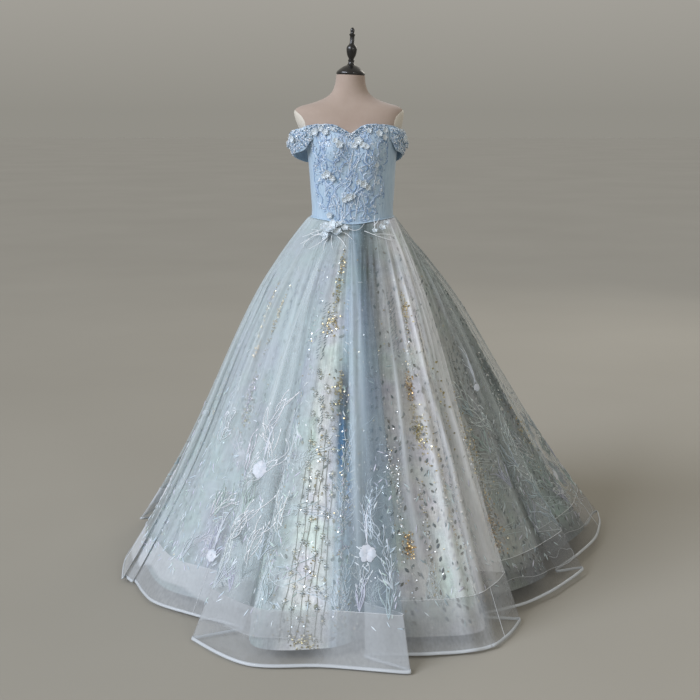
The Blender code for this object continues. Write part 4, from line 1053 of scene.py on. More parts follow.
# Close lines of sequins that follow the folds: count and level of either end, half width in
# metres, how many, colours.
GLITTER = (
    (9.20, 0.26, 9.80, 0.42, 0.004, 120, SILVER + GOLD), (9.90, 0.45, 10.2, 0.51, 0.004, 60, SILVER),
    (13.75, 0.50, 13.98, 0.70, 0.005, 170, SILVER + GOLD),
    (8.82, 0.58, 8.82, 0.80, 0.004, 160, SILVER + GOLD),
    (8.52, 0.20, 8.28, 0.40, 0.007, 60, GOLD + SILVER), (8.27, 0.42, 8.46, 0.60, 0.009, 80, GOLD + OLIVE),
    (14.25, 0.58, 13.90, 0.88, 0.006, 240, OLIVE + SILVER + AMBER),
    (61.5, 0.17, 61.8, 0.33, 0.004, 90, GOLD), (7.76, 0.58, 7.68, 0.82, 0.006, 120, SILVER),
    (8.24, 0.64, 8.22, 0.90, 0.005, 110, SILVER + OLIVE),
    (62.3, 0.40, 62.4, 0.54, 0.006, 90, OLIVE + LILAC),
    (62.8, 0.76, 62.8, 0.93, 0.016, 260, SILVER + LILAC), (2.45, 0.58, 2.50, 0.955, 0.004, 40, SILVER),
    (2.62, 0.50, 2.66, 0.955, 0.004, 40, SILVER + GOLD), (2.82, 0.52, 2.88, 0.955, 0.004, 40, SILVER),
    (2.66, 0.06, 2.56, 0.28, 0.008, 60, OLIVE + SILVER), (20.46, 0.40, 20.2, 0.62, 0.006, 90, SILVER),
    (10.5, 0.60, 10.5, 0.92, 0.005, 140, SILVER + OLIVE), (15.0, 0.30, 15.5, 0.56, 0.006, 80, SILVER),
    (3.80, 0.62, 4.00, 0.92, 0.010, 80, SILVER + LILAC),
    (65.6, 0.55, 66.0, 0.90, 0.010, 90, SILVER + LILAC),
    (58.5, 0.30, 58.0, 0.70, 0.006, 90, SILVER + GOLD),
)
spots, tints = [], []
for from_count, from_level, to_count, to_level, wide, number, colours in GLITTER + tuple(
        (a + 33.2, b, c + 33.2, *rest) for a, b, c, *rest in GLITTER):
    t = draw.random(number)
    thick = 0.5 + 0.5 * np.sin(t * 23 + from_count) ** 2
    spots.append(np.stack((from_count + (to_count - from_count) * t,
                           from_level + (to_level - from_level) * t,
                           draw.normal(size=number) * wide * thick, np.zeros(number)), -1))
    tints.append(pick(colours, draw.random(number)))
spots, tints = np.concatenate(spots), np.concatenate(tints)
scatter("glitter_lines", SEQUIN, underskirt, *place_spots(underskirt, under_spot, spots),
        0.0034, 0.0022, 0.0012, tints, foil, "tulle")


def left_to_right(count, left, right, chances):
    """Colours that pass from one set of hex values to another at the right of the front."""
    passed = ramp(count, 5.0, 7.0)[:, None]
    return pick(left, chances) * (1 - passed) + pick(right, chances) * passed


# Feather stitches: single long strokes that lie along flowing lines, closest low on the left
# and on the right.
FEATHERS = 9000
FEATHER_SHARE = (            # count, and how closely the strokes lie there
    (-10, 0.35), (-5, 0.85), (2.2, 0.8), (2.35, 0.12), (2.95, 0.12), (3.35, 0.12), (3.5, 0.7), (5, 0.7),
    (6.5, 0.22), (10.4, 0.25), (13.8, 0.5), (14.4, 0.95), (21.5, 0.95), (27, 0.6), (56, 0.5),
)
share, level = draw.random(FEATHERS), draw.random(FEATHERS)
count = counted(share)
low = ramp(level, 0.25, 0.75)
wanted = (draw.random(FEATHERS) < from_table(count, FEATHER_SHARE) * (0.15 + 0.85 * low)) & (
    level > 0.10) & (level < 0.955)
count, level = count[wanted], level[wanted]
bend = 0.75 * np.sin(count * 5.1 + 7 * level) + 0.5 * np.sin(count * 13.7 - 19 * level)
turn, size = bend + 0.22 * draw.normal(size=len(count)), 0.012 + 0.012 * draw.random(len(count))
colours = left_to_right(count, ("DCE6EA", "C9DDD6", "D3D2E4", "8FA9B6", "A5BDB6", "E9EFF2"),
                        ("B9C9C8", "A3B8B6", "C8D2D4", "56666A", "3F4C50", "A9AFC0"),
                        draw.random(len(count)))
strew("feather_stitches", narrow(0.36, 0.8), underskirt, *under_spot(count, level), turn, size, 0.0008,
      colours, thread, "tulle")


def vine_sway(level, k):
    """How far a bead vine swings to either side, in counts."""
    return 0.018 * np.sin(level * 26 + k * 2.1) + 0.010 * np.sin(level * 61 + k)


# Bead vines on the ivory strips: thin gold-olive cords, a crystal every 65 mm or so.
VINE_COUNTS, VINE_END = (2.36, 2.46, 2.57, 2.68, 2.79, 2.90), 0.958
runs, crystals = [], []
for strip in (0, 33):
    for k, count in enumerate(VINE_COUNTS):
        level = np.linspace(0.50 + 0.05 * (k % 3), VINE_END, 60)
        at = under_spot(strip + count + vine_sway(level, k), level)
        runs.append(underskirt.run(*at, 0.0010, 0.0008))
        for level in np.arange(0.36 + 0.017 * k, 0.957, 0.052):
            crystals.append((strip + count + vine_sway(level, k), level + 0.006 * draw.normal()))
fit(cords("bead_vines", runs, 4, [srgb("83867A")] * len(runs)), thread)
columns, rows = under_spot(*np.array(crystals).T)
scatter("crystal_beads", BEAD, underskirt, columns, rows, 0.0066, 0.0024, 0.0004,
        ("F4F7F7", "C9D3D6", "8E9AA0", "E8E2C8"), glass, "tulle")
ring = np.repeat(np.arange(len(columns)), 8)
turn = np.tile(np.arange(8) * math.pi / 4, len(columns))
at = underskirt.moved(columns[ring], rows[ring], 0.0064 * np.sin(turn), 0.0090 * np.cos(turn))
colours = pick(("6C7168", "8A8F80", "B4B298", "E6EBEA", "7A7F78", "A29A78"), draw.random(len(ring)))
strew("crystal_rings", BEAD, underskirt, *at, turn, 0.0034, 0.0002, colours, glass, "tulle")


def curl(start, heading, reach, bend, points=8):
    """A strand from start, setting off at a heading from straight up and bending steadily."""
    heading = heading + bend * np.linspace(0, 1, points - 1)
    steps = np.stack((np.sin(heading), np.cos(heading)), -1) * reach / (points - 1)
    return np.concatenate(([start], start + np.cumsum(steps, axis=0)))


def frond(seed, reach, strands):
    """Strands of a frond: a stem and side strands that leave it in turn, and curl."""
    draw = np.random.default_rng(seed)
    stem = curl((0, 0), 0.0, reach, 0.7 * draw.normal(), 12)
    strips = [stem]
    for k in range(strands):
        at = 1 + int((k + 0.5) * 9 / strands)
        ahead = stem[at + 1] - stem[at]
        way = math.atan2(ahead[0], ahead[1])
        side = 1 if k % 2 else -1
        strips.append(curl(stem[at], way + side * (0.45 + 0.5 * draw.random()),
                           reach * (0.34 + 0.34 * draw.random()), -side * (0.3 + 1.3 * draw.random()), 6))
    return strips


def lay_strands(cloth, place, turn, strips, radius, rise, colour):
    """Adds to runs and tints: strips drawn in metres round a place on the cloth, tapering."""
    cos, sin = math.cos(turn), math.sin(turn)
    for strip in strips:
        x, y = strip[:, 0] * cos - strip[:, 1] * sin, strip[:, 0] * sin + strip[:, 1] * cos
        at = cloth.moved(*(np.full(len(x), float(v)) for v in place), x, y)
        taper = radius * (0.30 + 0.85 * np.sin(math.pi * np.linspace(0.02, 0.97, len(x))))
        runs.append(cloth.run(*at, rise, taper))
        tints.append(colour)


# Pale fronds in mint, white and lilac thread: count, level, size in metres, lean, hex colour.
FRONDS = (
    (62.6, 0.62, 0.10, 0.2, "E6E6F0"), (63.0, 0.76, 0.12, -0.3, "DCEBE6"),
    (62.4, 0.84, 0.10, 0.4, "E9E4F2"), (65.2, 0.72, 0.13, 0.1, "E4EEF2"),
    (65.5, 0.86, 0.12, -0.2, "CDE3DC"), (0.60, 0.90, 0.13, 0.3, "DDEAF0"),
    (1.05, 0.78, 0.13, -0.2, "E2EDF3"), (1.60, 0.88, 0.12, 0.2, "D8E8EC"),
    (0.90, 0.62, 0.12, 0.1, "E6EFF4"), (1.75, 0.70, 0.12, -0.3, "D6E6EA"),
    (3.95, 0.56, 0.10, 0.2, "C4D4E0"), (3.80, 0.70, 0.10, -0.2, "D2DFE9"),
    (3.50, 0.90, 0.12, 0.1, "E2ECF4"), (4.10, 0.86, 0.10, 0.3, "D8E6F0"),
    (14.6, 0.50, 0.12, -0.5, "BDC8CA"), (15.0, 0.58, 0.13, -0.6, "C6D0D1"),
    (15.4, 0.66, 0.13, -0.5, "CBD6D6"), (15.9, 0.73, 0.14, -0.6, "D0D9DA"),
    (16.1, 0.82, 0.13, -0.5, "BECACB"), (20.2, 0.72, 0.12, -0.4, "C9DBDD"),
    (20.6, 0.80, 0.13, -0.5, "D4E2E4"), (21.0, 0.88, 0.12, -0.3, "CFDEE2"),
    (14.2, 0.74, 0.10, 0.3, "B6C2C4"), (9.60, 0.84, 0.10, 0.2, "C8D4D6"),
    (7.00, 0.88, 0.11, -0.2, "D0DADC"), (6.60, 0.70, 0.10, 0.2, "C6D0D4"),
    (57.2, 0.60, 0.12, 0.3, "DCE8EE"), (58.4, 0.78, 0.12, -0.2, "E2ECF2"),
    (61.5, 0.50, 0.09, 0.1, "DCE6EE"), (64.9, 0.55, 0.11, 0.2, "DFEAF0"),
    (2.10, 0.56, 0.10, 0.2, "DCE8EC"), (8.20, 0.90, 0.10, 0.1, "CCD8DA"),
)
runs, tints = [], []
for k, (count, level, size, lean, text) in enumerate(with_back(FRONDS, 33.2)):
    for j, (off, drop) in enumerate(((0, 0), (0.12, 0.045), (-0.13, 0.02))):
        lay_strands(underskirt, under_spot(count + off, min(level + drop, 0.93)),
                    -lean + 0.5 * (j - 1) * (k % 3 - 1), frond(100 + 3 * k + j, size * (1 - 0.2 * j), 9),
                    0.0015, 0.0010, srgb(text))
fit(cords("pale_fronds", runs, 3, tints), thread)

# ---- The sheer overskirt -------------------------------------------------------------------
# Five gores of crisp organza, gathered into the waist seam over the tulle. It is see-through
# where it lies flat and paler and closer where its pleats double up.

# Silk organza: plain open weave of fine twisted threads, sheer with a dry sheen. Cover says
# how much of it shows; 0.25 mm threads are drawn as soft streaks 3 mm apart.
organza, tree, surface = new_finish("pale blue silk organza", "BFD0DA", 0.5, Sheen_Weight=0.35,
                                    Sheen_Roughness=0.4, Specular_IOR_Level=0.35)
cover = add(tree, "Attribute", attribute_name="cover").outputs["Fac"]
uv = add(tree, "UVMap")
streak = add(tree, "Mapping", {"Vector": uv, "Scale": (420, 5, 1)})
threads = add(tree, "TexNoise", {"Vector": streak, "Scale": 1, "Detail": 3, "Roughness": 0.6})
thread_part = add(tree, "MapRange", {"Value": threads, "From Min": 0.3,
                                     "From Max": 0.7, "To Min": -0.030, "To Max": 0.030})
add(tree, "Math", {0: cover, 1: thread_part}, surface.inputs["Alpha"], operation="ADD", use_clamp=True)
tone = add(tree, "MapRange", {"Value": threads, "From Min": 0.3, "From Max": 0.7,
                              "To Min": 0.95, "To Max": 1.04})
# the tint attribute carries painted shade and light as well as the organza's own colour
tint_shade_and_light = add(tree, "Mix", {0: 1.0, 6: add(tree, "Attribute", attribute_name="tint"), 7: tone},
           data_type="RGBA", blend_type="MULTIPLY")
tree.links.new(tint_shade_and_light.outputs[2], surface.inputs["Base Color"])

crest = rise - 0.25 * (np.roll(rise, 7, 1) + np.roll(rise, -7, 1)
                       + np.roll(rise, 4, 1) + np.roll(rise, -4, 1))
COVER = (                    # count, how much of the organza shows where it lies flat
    (-2.0, 0.34), (0.5, 0.30), (2.1, 0.26), (2.4, 0.14), (2.88, 0.12), (2.98, 0.26), (3.27, 0.26),
    (3.34, 0.32), (3.6, 0.30), (3.85, 0.20), (4.3, 0.12), (7.2, 0.12), (7.6, 0.18), (8.4, 0.24),
    (9.0, 0.32), (10.5, 0.34), (13.5, 0.26), (16.0, 0.20), (22.0, 0.22), (33.0, 0.34), (35.5, 0.16),
    (36.3, 0.34), (44.0, 0.36), (56.0, 0.40), (64.0, 0.36), (68.5, 0.36),
)
# Painted shade: the grey-blue from count 4.4 to 7.2 is shade in the deep fold there. Painted light: the
# near-white from 8.6 to 13.5 lights the side turned from the sun.
ORGANZA_TINTS_SHADE_AND_LIGHT = (                    # count, colour of the organza, with painted shade and light
    (-2.0, "CDD8DB"), (2.3, "CDD8DC"), (3.0, "C2D0D8"), (3.5, "BFD0DB"), (3.8, "93AABB"), (4.4, "7F93A1"),
    (7.2, "7F8C95"), (7.6, "BFC7CA"), (8.6, "E6E9EC"), (10.5, "EDF0F3"), (13.5, "D4D9DB"),
    (15.0, "B7C0C2"), (22.0, "ACB7BA"), (33.0, "BFCBD2"), (45.0, "C6D2D9"), (56.0, "CDD8DB"),
    (68.5, "CDD8DB"),
)
CREASE_HIGHLIGHTS = (                  # painted highlights along creases: count and level of the top and the foot
    (8.50, 0.14, 8.80, 0.72), (9.30, 0.12, 9.72, 0.78), (9.95, 0.14, 10.4, 0.88),
    (8.95, 0.10, 9.10, 0.55), (14.2, 0.18, 14.6, 0.80), (15.4, 0.16, 15.9, 0.82),
    (13.8, 0.30, 14.0, 0.88), (20.3, 0.14, 20.8, 0.86), (21.2, 0.16, 21.6, 0.80),
    (7.75, 0.10, 7.90, 0.60), (3.24, 0.16, 3.31, 0.66), (4.46, 0.10, 4.46, 0.86),
    (1.20, 0.10, 0.70, 0.60), (62.3, 0.08, 62.0, 0.62), (26.6, 0.12, 27.0, 0.84),
    (32.4, 0.10, 32.9, 0.74), (39.0, 0.12, 38.7, 0.86), (44.6, 0.14, 44.9, 0.78),
    (50.7, 0.10, 51.1, 0.82), (56.9, 0.12, 56.4, 0.66),
)
near_count = from_left(count_grid)
trough = ramp(near_count, 2.93, 2.99) * (1 - ramp(near_count, 3.26, 3.33)) * bell(level_grid - 0.48, 0.13)
flap = bell(near_count - 3.54, 0.16) * bell(level_grid - 0.34, 0.24)        # doubled beside the trough
flat_cover = from_table(near_count, COVER) - 0.22 * trough + 0.34 * flap
organza_tints_shade_and_light = tint_at(near_count, ORGANZA_TINTS_SHADE_AND_LIGHT)
CREST_GAIN = (               # count, cover added per metre that a crest stands up
    (-2, 13), (2.3, 15), (3.2, 28), (3.8, 16), (7.2, 16), (7.7, 30), (22, 34), (33, 30), (50, 30),
    (56, 13), (64, 13),
)
TOP_COVER = (                # count, cover added at the waist, where the gathers are closest
    (-2, 0.24), (2, 0.20), (3.2, 0.06), (10, 0.05), (16, 0.12), (30, 0.24), (64, 0.24),
)
GATHER_COVER = ((-2, 0.3), (1, 0.4), (3, 1), (20, 1), (30, 0.6), (60, 0.3))
stands = np.where(crest > 0, 1, 0.6) * np.clip(crest, -0.003, 0.008)
dense_part = (flat_cover + from_table(near_count, CREST_GAIN) * stands
              + from_table(near_count, TOP_COVER) * np.exp(-level_grid / 0.045)
              + 0.03 * uneven(share_grid, 60, 29) * ramp(level_grid, 0.05, 0.3))
across = np.linalg.norm(np.gradient(plain, axis=1), axis=-1) / np.gradient(count_grid, axis=1)
# Each crease's painted highlight shows more of the pale organza in a narrow line.
for top, start, foot, end in CREASE_HIGHLIGHTS:
    share = np.clip((level_grid - start) / (end - start), 0, 1)
    off = apart(count_grid, top + (foot - top) * share)
    dense_part += 0.26 * bell(off * across, 0.0028) * np.sin(math.pi * share) ** 0.5
dense_part += (0.10 * np.cos(2 * math.pi * pull(share_grid)) * np.exp(-level_grid / 0.16)
               * from_table(near_count, GATHER_COVER))
blurred = ramp(abs(apart(count_grid, 2)), 26.5, 28.5)        # behind, it closes up towards the band
dense_part += blurred * 0.24 * ramp(level_grid, 0.74, BAND_LEVEL)
dense_part = np.clip(dense_part, 0.05, 0.86)
OVER_FLAT = (                # flat width at the hem, length and area of each gore
    (1.42, 1.05, 1.07), (1.70, 1.05, 1.23), (1.52, 1.05, 1.06), (1.39, 1.05, 1.03),
    (2.40, 1.05, 1.92))


def sheer_sheet(name, part, cover, tints, finish, node):
    """Part of the overskirt as a sheet, with how much of it shows and its own colours."""
    piece = new_sheet(name, overskirt.places[part])
    shows = piece.data.attributes.new("cover", "FLOAT", "POINT")
    shows.data.foreach_set("value", cover[part].astype(np.float32).ravel())
    paint(piece, "tint", tints[part])
    return fit(piece, finish, node)


overskirt_pieces = []
for number, (first, last, flat) in enumerate(zip(gore_columns, gore_columns[1:], OVER_FLAT), 1):
    part = slice(BAND_ROW, None), slice(first, last + 1)
    gore = sheer_sheet(f"organza_gore_{number}", part, dense_part, organza_tints_shade_and_light, organza,
                       f"skirt_gore_{number}")
    overskirt_pieces.append((gore, flat))

# ---- The hem: organza band and horsehair edge ----------------------------------------------
# A 13 cm band of closer greyish-white organza is sewn to the foot of each gore, and a stiff
# white horsehair braid, 8 mm wide and 3 mm thick, holds the hem out.

# Band organza: doubled, so it hides more. Its plain weave is drawn as streaks 6 to 10 mm apart.
doubled, tree, surface = new_finish("greyish white organza, doubled", "C9CDD2", 0.5,
                                    Sheen_Weight=0.3, Specular_IOR_Level=0.35)
uv = add(tree, "UVMap")
weave = add(tree, "Mapping", {"Vector": uv, "Scale": (230, 9, 1)})
threads = add(tree, "TexNoise", {"Vector": weave, "Scale": 1, "Detail": 3})
thread_part = add(tree, "MapRange", {"Value": threads, "From Min": 0.3,
                                     "From Max": 0.7, "To Min": -0.05, "To Max": 0.05})
add(tree, "Attribute", into=surface.inputs["Base Color"], attribute_name="tint")
cover = add(tree, "Attribute", attribute_name="cover").outputs["Fac"]
add(tree, "Math", {0: cover, 1: thread_part}, surface.inputs["Alpha"], operation="ADD", use_clamp=True)
# Horsehair braid: nylon monofilament plaited on the bias, white and slightly glassy. The
# 0.3 mm plait is drawn at 2 mm.
horsehair, tree, surface = new_finish("white horsehair braid", "C2C8CD", 0.35, Coat_Weight=0.2)
uv = add(tree, "UVMap")
plait = add(tree, "Mapping", {"Vector": uv, "Scale": (520, 6, 1), "Rotation": (0, 0, 0.5)})
diagonal = add(tree, "TexWave", {"Vector": plait, "Scale": 0.5})
add(tree, "Bump", {"Height": diagonal.outputs["Fac"], "Strength": 0.5, "Distance": 0.0006},
    surface.inputs["Normal"])
BAND_COVER = (               # count, how much of the band shows
    (-2.0, 0.56), (2.3, 0.50), (2.5, 0.34), (2.95, 0.36), (3.1, 0.50), (4.4, 0.46), (6.5, 0.42),
    (9.5, 0.38), (10.5, 0.34), (14.0, 0.30), (21.0, 0.32), (27.0, 0.42), (40.0, 0.56), (56.0, 0.66),
    (64.0, 0.64), (68.0, 0.56),
)
INNER_HEM = 0.950            # level at which the inner layer of the band ends, on the left and behind


def inner_hem(count):
    """Level of the inner layer's rounded edge."""
    return INNER_HEM + 0.010 * np.sin(count * 2.1 + 0.5) + 0.004 * np.sin(count * 5.3)


band_part = from_table(near_count, BAND_COVER)
one_layer = ramp(level_grid, inner_hem(count_grid) - 0.004, inner_hem(count_grid) + 0.006)
layered = ramp(abs(apart(count_grid, 6)), 3.0, 3.3)      # not between the two front lobes' middles
band_part = band_part * (1.12 - 0.45 * one_layer * layered)
greyed = np.maximum(ramp(level_grid, 0.895, 0.95), 1 - blurred)[..., None]
band_tints = organza_tints_shade_and_light + (np.array(srgb("B6BBBF")) - organza_tints_shade_and_light) * greyed
# Painted shade and light on the band: half as bright from count 11 to 23 on the right, brighter from 56 to
# 61 on the left.
BAND_PAINTED_LIGHT = ((-2, 1), (9.5, 1), (11, 0.5), (23, 0.5), (30, 0.9), (56, 1.3), (61, 1.3), (64, 1))
band_tints[..., :3] *= from_table(near_count, BAND_PAINTED_LIGHT)[..., None]
EDGE_WALL = 0.003
for number, (first, last) in enumerate(zip(gore_columns, gore_columns[1:]), 1):
    part = slice(EDGE_ROW, BAND_ROW + 1), slice(first, last + 1)
    band = sheer_sheet(f"organza_band_{number}", part, band_part, band_tints, doubled,
                       f"hem_band_{number}")
    part = slice(EDGE_ROW + 1), slice(first, last + 1)
    edge = new_sheet(f"horsehair_edge_{number}",
                     overskirt.places[part] + overskirt.normals[part] * EDGE_WALL / 2)
    thicken(edge, EDGE_WALL)
    fit(edge, horsehair, f"hem_edge_{number}")
    gore, (width, height, area) = overskirt_pieces[number - 1]
    gore, (width, height, area) = underskirt_pieces[number - 1]

# ---- Embroidery on the overskirt -----------------------------------------------------------
# White and pale blue satin stitch on the organza: open flowers on long stems, feathery sprays
# and strands like water weed. Then single strokes, dark leaves, sequins and the white joins.
PETAL = (np.array(((0, 0, .02), (.10, .28, .10), (.27, .55, .12), (.25, .80, .08), (0, .95, .03),
                   (-.25, .80, .08), (-.27, .55, .12), (-.10, .28, .10), (0, .52, .16))),
         np.array(((0, 1, 8), (1, 2, 8), (2, 3, 8), (3, 4, 8), (4, 5, 8), (5, 6, 8), (6, 7, 8),
                   (7, 0, 8))))
BLOOMS = (                   # count, level, petal length in metres, turn
    (1.28, 0.61, 0.029, 0.2), (3.54, 0.77, 0.027, 0.5), (20.9, 0.80, 0.026, 0.1),
    (62.9, 0.86, 0.022, 0.4), (14.9, 0.47, 0.013, 0.7), (27.0, 0.66, 0.026, 0.3),
    (33.4, 0.74, 0.025, 0.9), (38.6, 0.60, 0.026, 0.2), (45.0, 0.78, 0.024, 0.6),
    (51.2, 0.64, 0.025, 0.4), (57.0, 0.76, 0.024, 0.8),
)
SPRAYS = (                   # count, level, size in metres, lean, hex colour
    (1.10, 0.53, 0.13, 0.15, "F2F5FA"), (1.55, 0.58, 0.11, -0.35, "F6F8FB"),
    (0.70, 0.66, 0.12, 0.45, "EEF3F8"), (0.40, 0.80, 0.13, 0.30, "F4F7FB"),
    (1.00, 0.86, 0.12, -0.10, "E6F0F2"), (1.60, 0.82, 0.13, -0.30, "F2F6FA"),
    (65.5, 0.72, 0.12, 0.20, "EAF0F6"), (63.1, 0.66, 0.11, 0.10, "F0EEF8"),
    (62.5, 0.78, 0.12, 0.25, "F4F4FA"), (62.0, 0.60, 0.09, 0.05, "E8EEF4"),
    (3.55, 0.72, 0.10, 0.05, "C6D6E4"), (3.85, 0.76, 0.10, -0.30, "D2DFEB"),
    (3.40, 0.86, 0.08, 0.25, "D6E0E8"), (3.95, 0.82, 0.09, -0.20, "CEDAE4"),
    (14.6, 0.53, 0.12, -0.55, "DDE8E8"), (15.2, 0.61, 0.13, -0.60, "E2ECEC"),
    (15.7, 0.68, 0.13, -0.50, "DCE8E8"), (20.4, 0.74, 0.13, -0.45, "E4EAEE"),
    (20.9, 0.88, 0.12, -0.40, "E8EDF0"), (16.1, 0.80, 0.12, -0.35, "D8E4E4"),
    (2.00, 0.74, 0.11, -0.15, "EEF4F6"), (26.8, 0.60, 0.13, 0.30, "EDF2F6"),
    (27.3, 0.74, 0.12, -0.20, "F0F4F8"), (33.2, 0.66, 0.13, 0.20, "EDF2F6"),
    (33.8, 0.82, 0.12, -0.20, "F0F4F8"), (38.4, 0.54, 0.12, 0.30, "EDF2F6"),
    (38.9, 0.72, 0.13, -0.30, "F0F4F8"), (44.7, 0.70, 0.12, 0.25, "EDF2F6"),
    (45.3, 0.84, 0.12, -0.20, "F0F4F8"), (50.9, 0.58, 0.13, 0.20, "EDF2F6"),
    (51.5, 0.74, 0.12, -0.25, "F0F4F8"), (56.8, 0.68, 0.13, 0.20, "EDF2F6"),
    (57.3, 0.84, 0.12, -0.30, "F0F4F8"),
)
WEEDS = (                    # count, level of the root, size in metres, lean
    (0.20, 0.88, 0.11, 0.1), (0.60, 0.79, 0.12, -0.3), (0.95, 0.89, 0.12, 0.3), (1.10, 0.72, 0.11, 0.1),
    (1.40, 0.88, 0.13, -0.2), (1.75, 0.80, 0.12, 0.3), (2.05, 0.88, 0.10, -0.1), (62.2, 0.89, 0.10, 0.2),
    (62.6, 0.77, 0.12, 0.2), (62.9, 0.89, 0.12, 0.0), (63.3, 0.83, 0.12, 0.2), (65.3, 0.88, 0.12, -0.1),
    (65.6, 0.80, 0.12, 0.3), (65.9, 0.71, 0.11, 0.1), (3.40, 0.89, 0.08, 0.1), (3.62, 0.74, 0.09, -0.2),
    (3.80, 0.90, 0.08, 0.1), (3.95, 0.84, 0.07, -0.3), (14.6, 0.64, 0.12, -0.5), (14.9, 0.74, 0.12, -0.4),
    (15.5, 0.70, 0.12, -0.6), (15.9, 0.80, 0.12, -0.5), (20.1, 0.68, 0.12, -0.5),
    (20.4, 0.82, 0.12, -0.5), (20.7, 0.88, 0.12, -0.4), (16.3, 0.88, 0.12, -0.4),
    (14.4, 0.54, 0.11, -0.6),
)
SILKY = np.array((0.86, 0.86, 0.86, 1.0))           # the thread's sheen adds the rest of the white


def weed(seed, reach, strands):
    """Strands like water weed: they rise together from one root, part, sway and fork."""
    draw = np.random.default_rng(seed)
    t = np.linspace(0, 1, 14)
    strips = []
    for k in range(strands):
        spread = (k - (strands - 1) / 2) / strands
        heading = 0.9 * spread + 0.75 * np.sin(6 * t + 6.28 * draw.random()) * t
        steps = np.stack((np.sin(heading), np.cos(heading)), -1) * reach * (0.5 + 0.6 * draw.random()) / 14
        strips.append(np.concatenate(([(0.0, 0.0)], np.cumsum(steps, axis=0))))
        if k % 2 == 0:
            fork = 6 + k % 4
            strips.append(curl(strips[-1][fork], heading[fork] - 0.5, reach * 0.3, 0.9))
    return strips


runs, tints, blades, blade_tints = [], [], [], []
for k, (count, level, size, lean, text) in enumerate(SPRAYS):
    strips = frond(500 + k, size, 8)
    lay_strands(overskirt, spot(count, level), -lean, strips, 0.0014, 0.0006, srgb(text) * SILKY)
    cos, sin = math.cos(-lean), math.sin(-lean)
    for strip in strips[1:]:                         # a narrow leaf at the end of each side strand
        (x, y), way = strip[-1], strip[-1] - strip[-2]
        blades.append((count, level, x * cos - y * sin, x * sin + y * cos,
                       -math.atan2(way[0], way[1]) - lean))
        blade_tints.append(srgb(text) * SILKY)
for k, (count, level, size, lean) in enumerate(WEEDS + tuple(
        (c + off, *rest) for off in (22.3, 31.2, 42.1) for c, *rest in WEEDS[:16])):
    text = ("BFCDD6", "B6C8CE", "C9D3DB", "B9CBC8", "BFC4D4")[k % 5]
    lay_strands(overskirt, spot(count, level), -lean, weed(900 + k, size, 5), 0.0020, 0.0001,
                srgb(text) * SILKY)
STEMS = ((0.15, 0.9, 0.0022), (0.14, -0.7, 0.0018), (0.11, 0.3, 0.0018), (0.09, -1.4, 0.0015))
for count, level, size, turn in BLOOMS:
    for reach, bend, thick in STEMS:
        stem = curl((0.006 * bend, size * 0.7), -0.35 * bend, reach, bend, 14)
        lay_strands(overskirt, spot(count, level), 0.0, [stem], thick, 0.0006, srgb("DCE3EC") * SILKY)
fit(cords("white_sprays", runs, 3, tints), thread)
blades = np.array(blades)
strew("spray_leaves", narrow(0.62, 0.8), overskirt, *place_spots(overskirt, spot, blades), blades[:, 4],
      0.014, 0.0005, blade_tints, thread, "organza")
BLOOM_RINGS = ((13, 1.0), (10, 0.72), (7, 0.42))     # petals and their reach
spots = np.array([(c, v, size * reach, turn + (k + 0.5 * (ring % 2)) * 2 * math.pi / number
                   + 0.12 * math.sin(9 * k + c), 0.0004 + 0.0006 * ring)
                  for c, v, size, turn in BLOOMS
                  for ring, (number, reach) in enumerate(BLOOM_RINGS)
                  for k in range(number)])
strew("white_blooms", PETAL, overskirt, *spot(spots[:, 0], spots[:, 1]), spots[:, 3],
      spots[:, 2] * (0.9 + 0.2 * draw.random(len(spots))), spots[:, 4],
      pick(("C6CCD6", "CED2DA", "BEC7D1"), draw.random(len(spots))), thread, "organza")

# Feather stitches on the organza too, white and ice blue, round the foot of the sprays.
FEATHERS = 4200
share, level = draw.random(FEATHERS), 0.45 + 0.5 * np.sqrt(draw.random(FEATHERS))
count = counted(share)
wanted = (draw.random(FEATHERS) < from_table(count, FEATHER_SHARE) * (
    0.35 + 0.65 * np.sin(count * 6.1 + 11 * level) ** 2)) & (level < 0.925)
count, level = count[wanted], level[wanted]
bend = 0.7 * np.sin(count * 4.3 - 9 * level) + 0.5 * np.sin(count * 11.9 + 23 * level)
turn, size = bend + 0.25 * draw.normal(size=len(count)), 0.014 + 0.014 * draw.random(len(count))
colours = left_to_right(count, ("C8D5DE", "D6E0E7", "BACBD6", "C3D6D2", "CBCDDE"),
                        ("B6C4C6", "A9B9BC", "C6CFD3", "8E9DA2", "B7B8C4"), draw.random(len(count)))
strew("over_feathers", narrow(0.36, 0.7), overskirt, *spot(count, level), turn, size, 0.0003, colours,
      thread, "organza")

# Dark leaves on the organza of the right side, in slanting rows, and sequins sewn through it.
LEAVES = 3000
LEAVES_SHARE = (             # count, and how many of the leaves there are worked
    (-10, 0), (6.8, 0), (7.6, 0.35), (8.8, 0.8), (16.5, 0.9), (22, 0.7), (24, 0.2), (38, 0.2), (41, 0.6),
    (52, 0.6), (54, 0), (56, 0),
)
draw = np.random.default_rng(57)
share, level = draw.random(LEAVES), 0.10 + 0.83 * draw.random(LEAVES)
count = counted(share)
wanted = draw.random(LEAVES) < from_table(count, LEAVES_SHARE) * (
    0.25 + 0.75 * np.sin(count * 4.7 - 14 * level) ** 2)
count, level = count[wanted], level[wanted]
strew("over_leaves", narrow(0.62, 0.7), overskirt, *spot(count, level),
      -0.55 + 0.5 * np.sin(count * 3.1 + 8 * level) + 0.25 * draw.normal(size=len(count)),
      0.009 + 0.005 * draw.random(len(count)), 0.0003,
      pick(("687375", "777B76", "5E6A6E", "868B86", "8E9698"), draw.random(len(count))), thread, "organza")
spots, tints = [], []
for count, level, wide, high, number, colours in CLUSTERS:
    for off in (0, 33.3) if 7.5 < count < 21 else ():
        number = number // 2
        spots.append(cluster(count + off, level, wide, high, number, 2))
        tints.append(pick(colours, draw.random(number)))
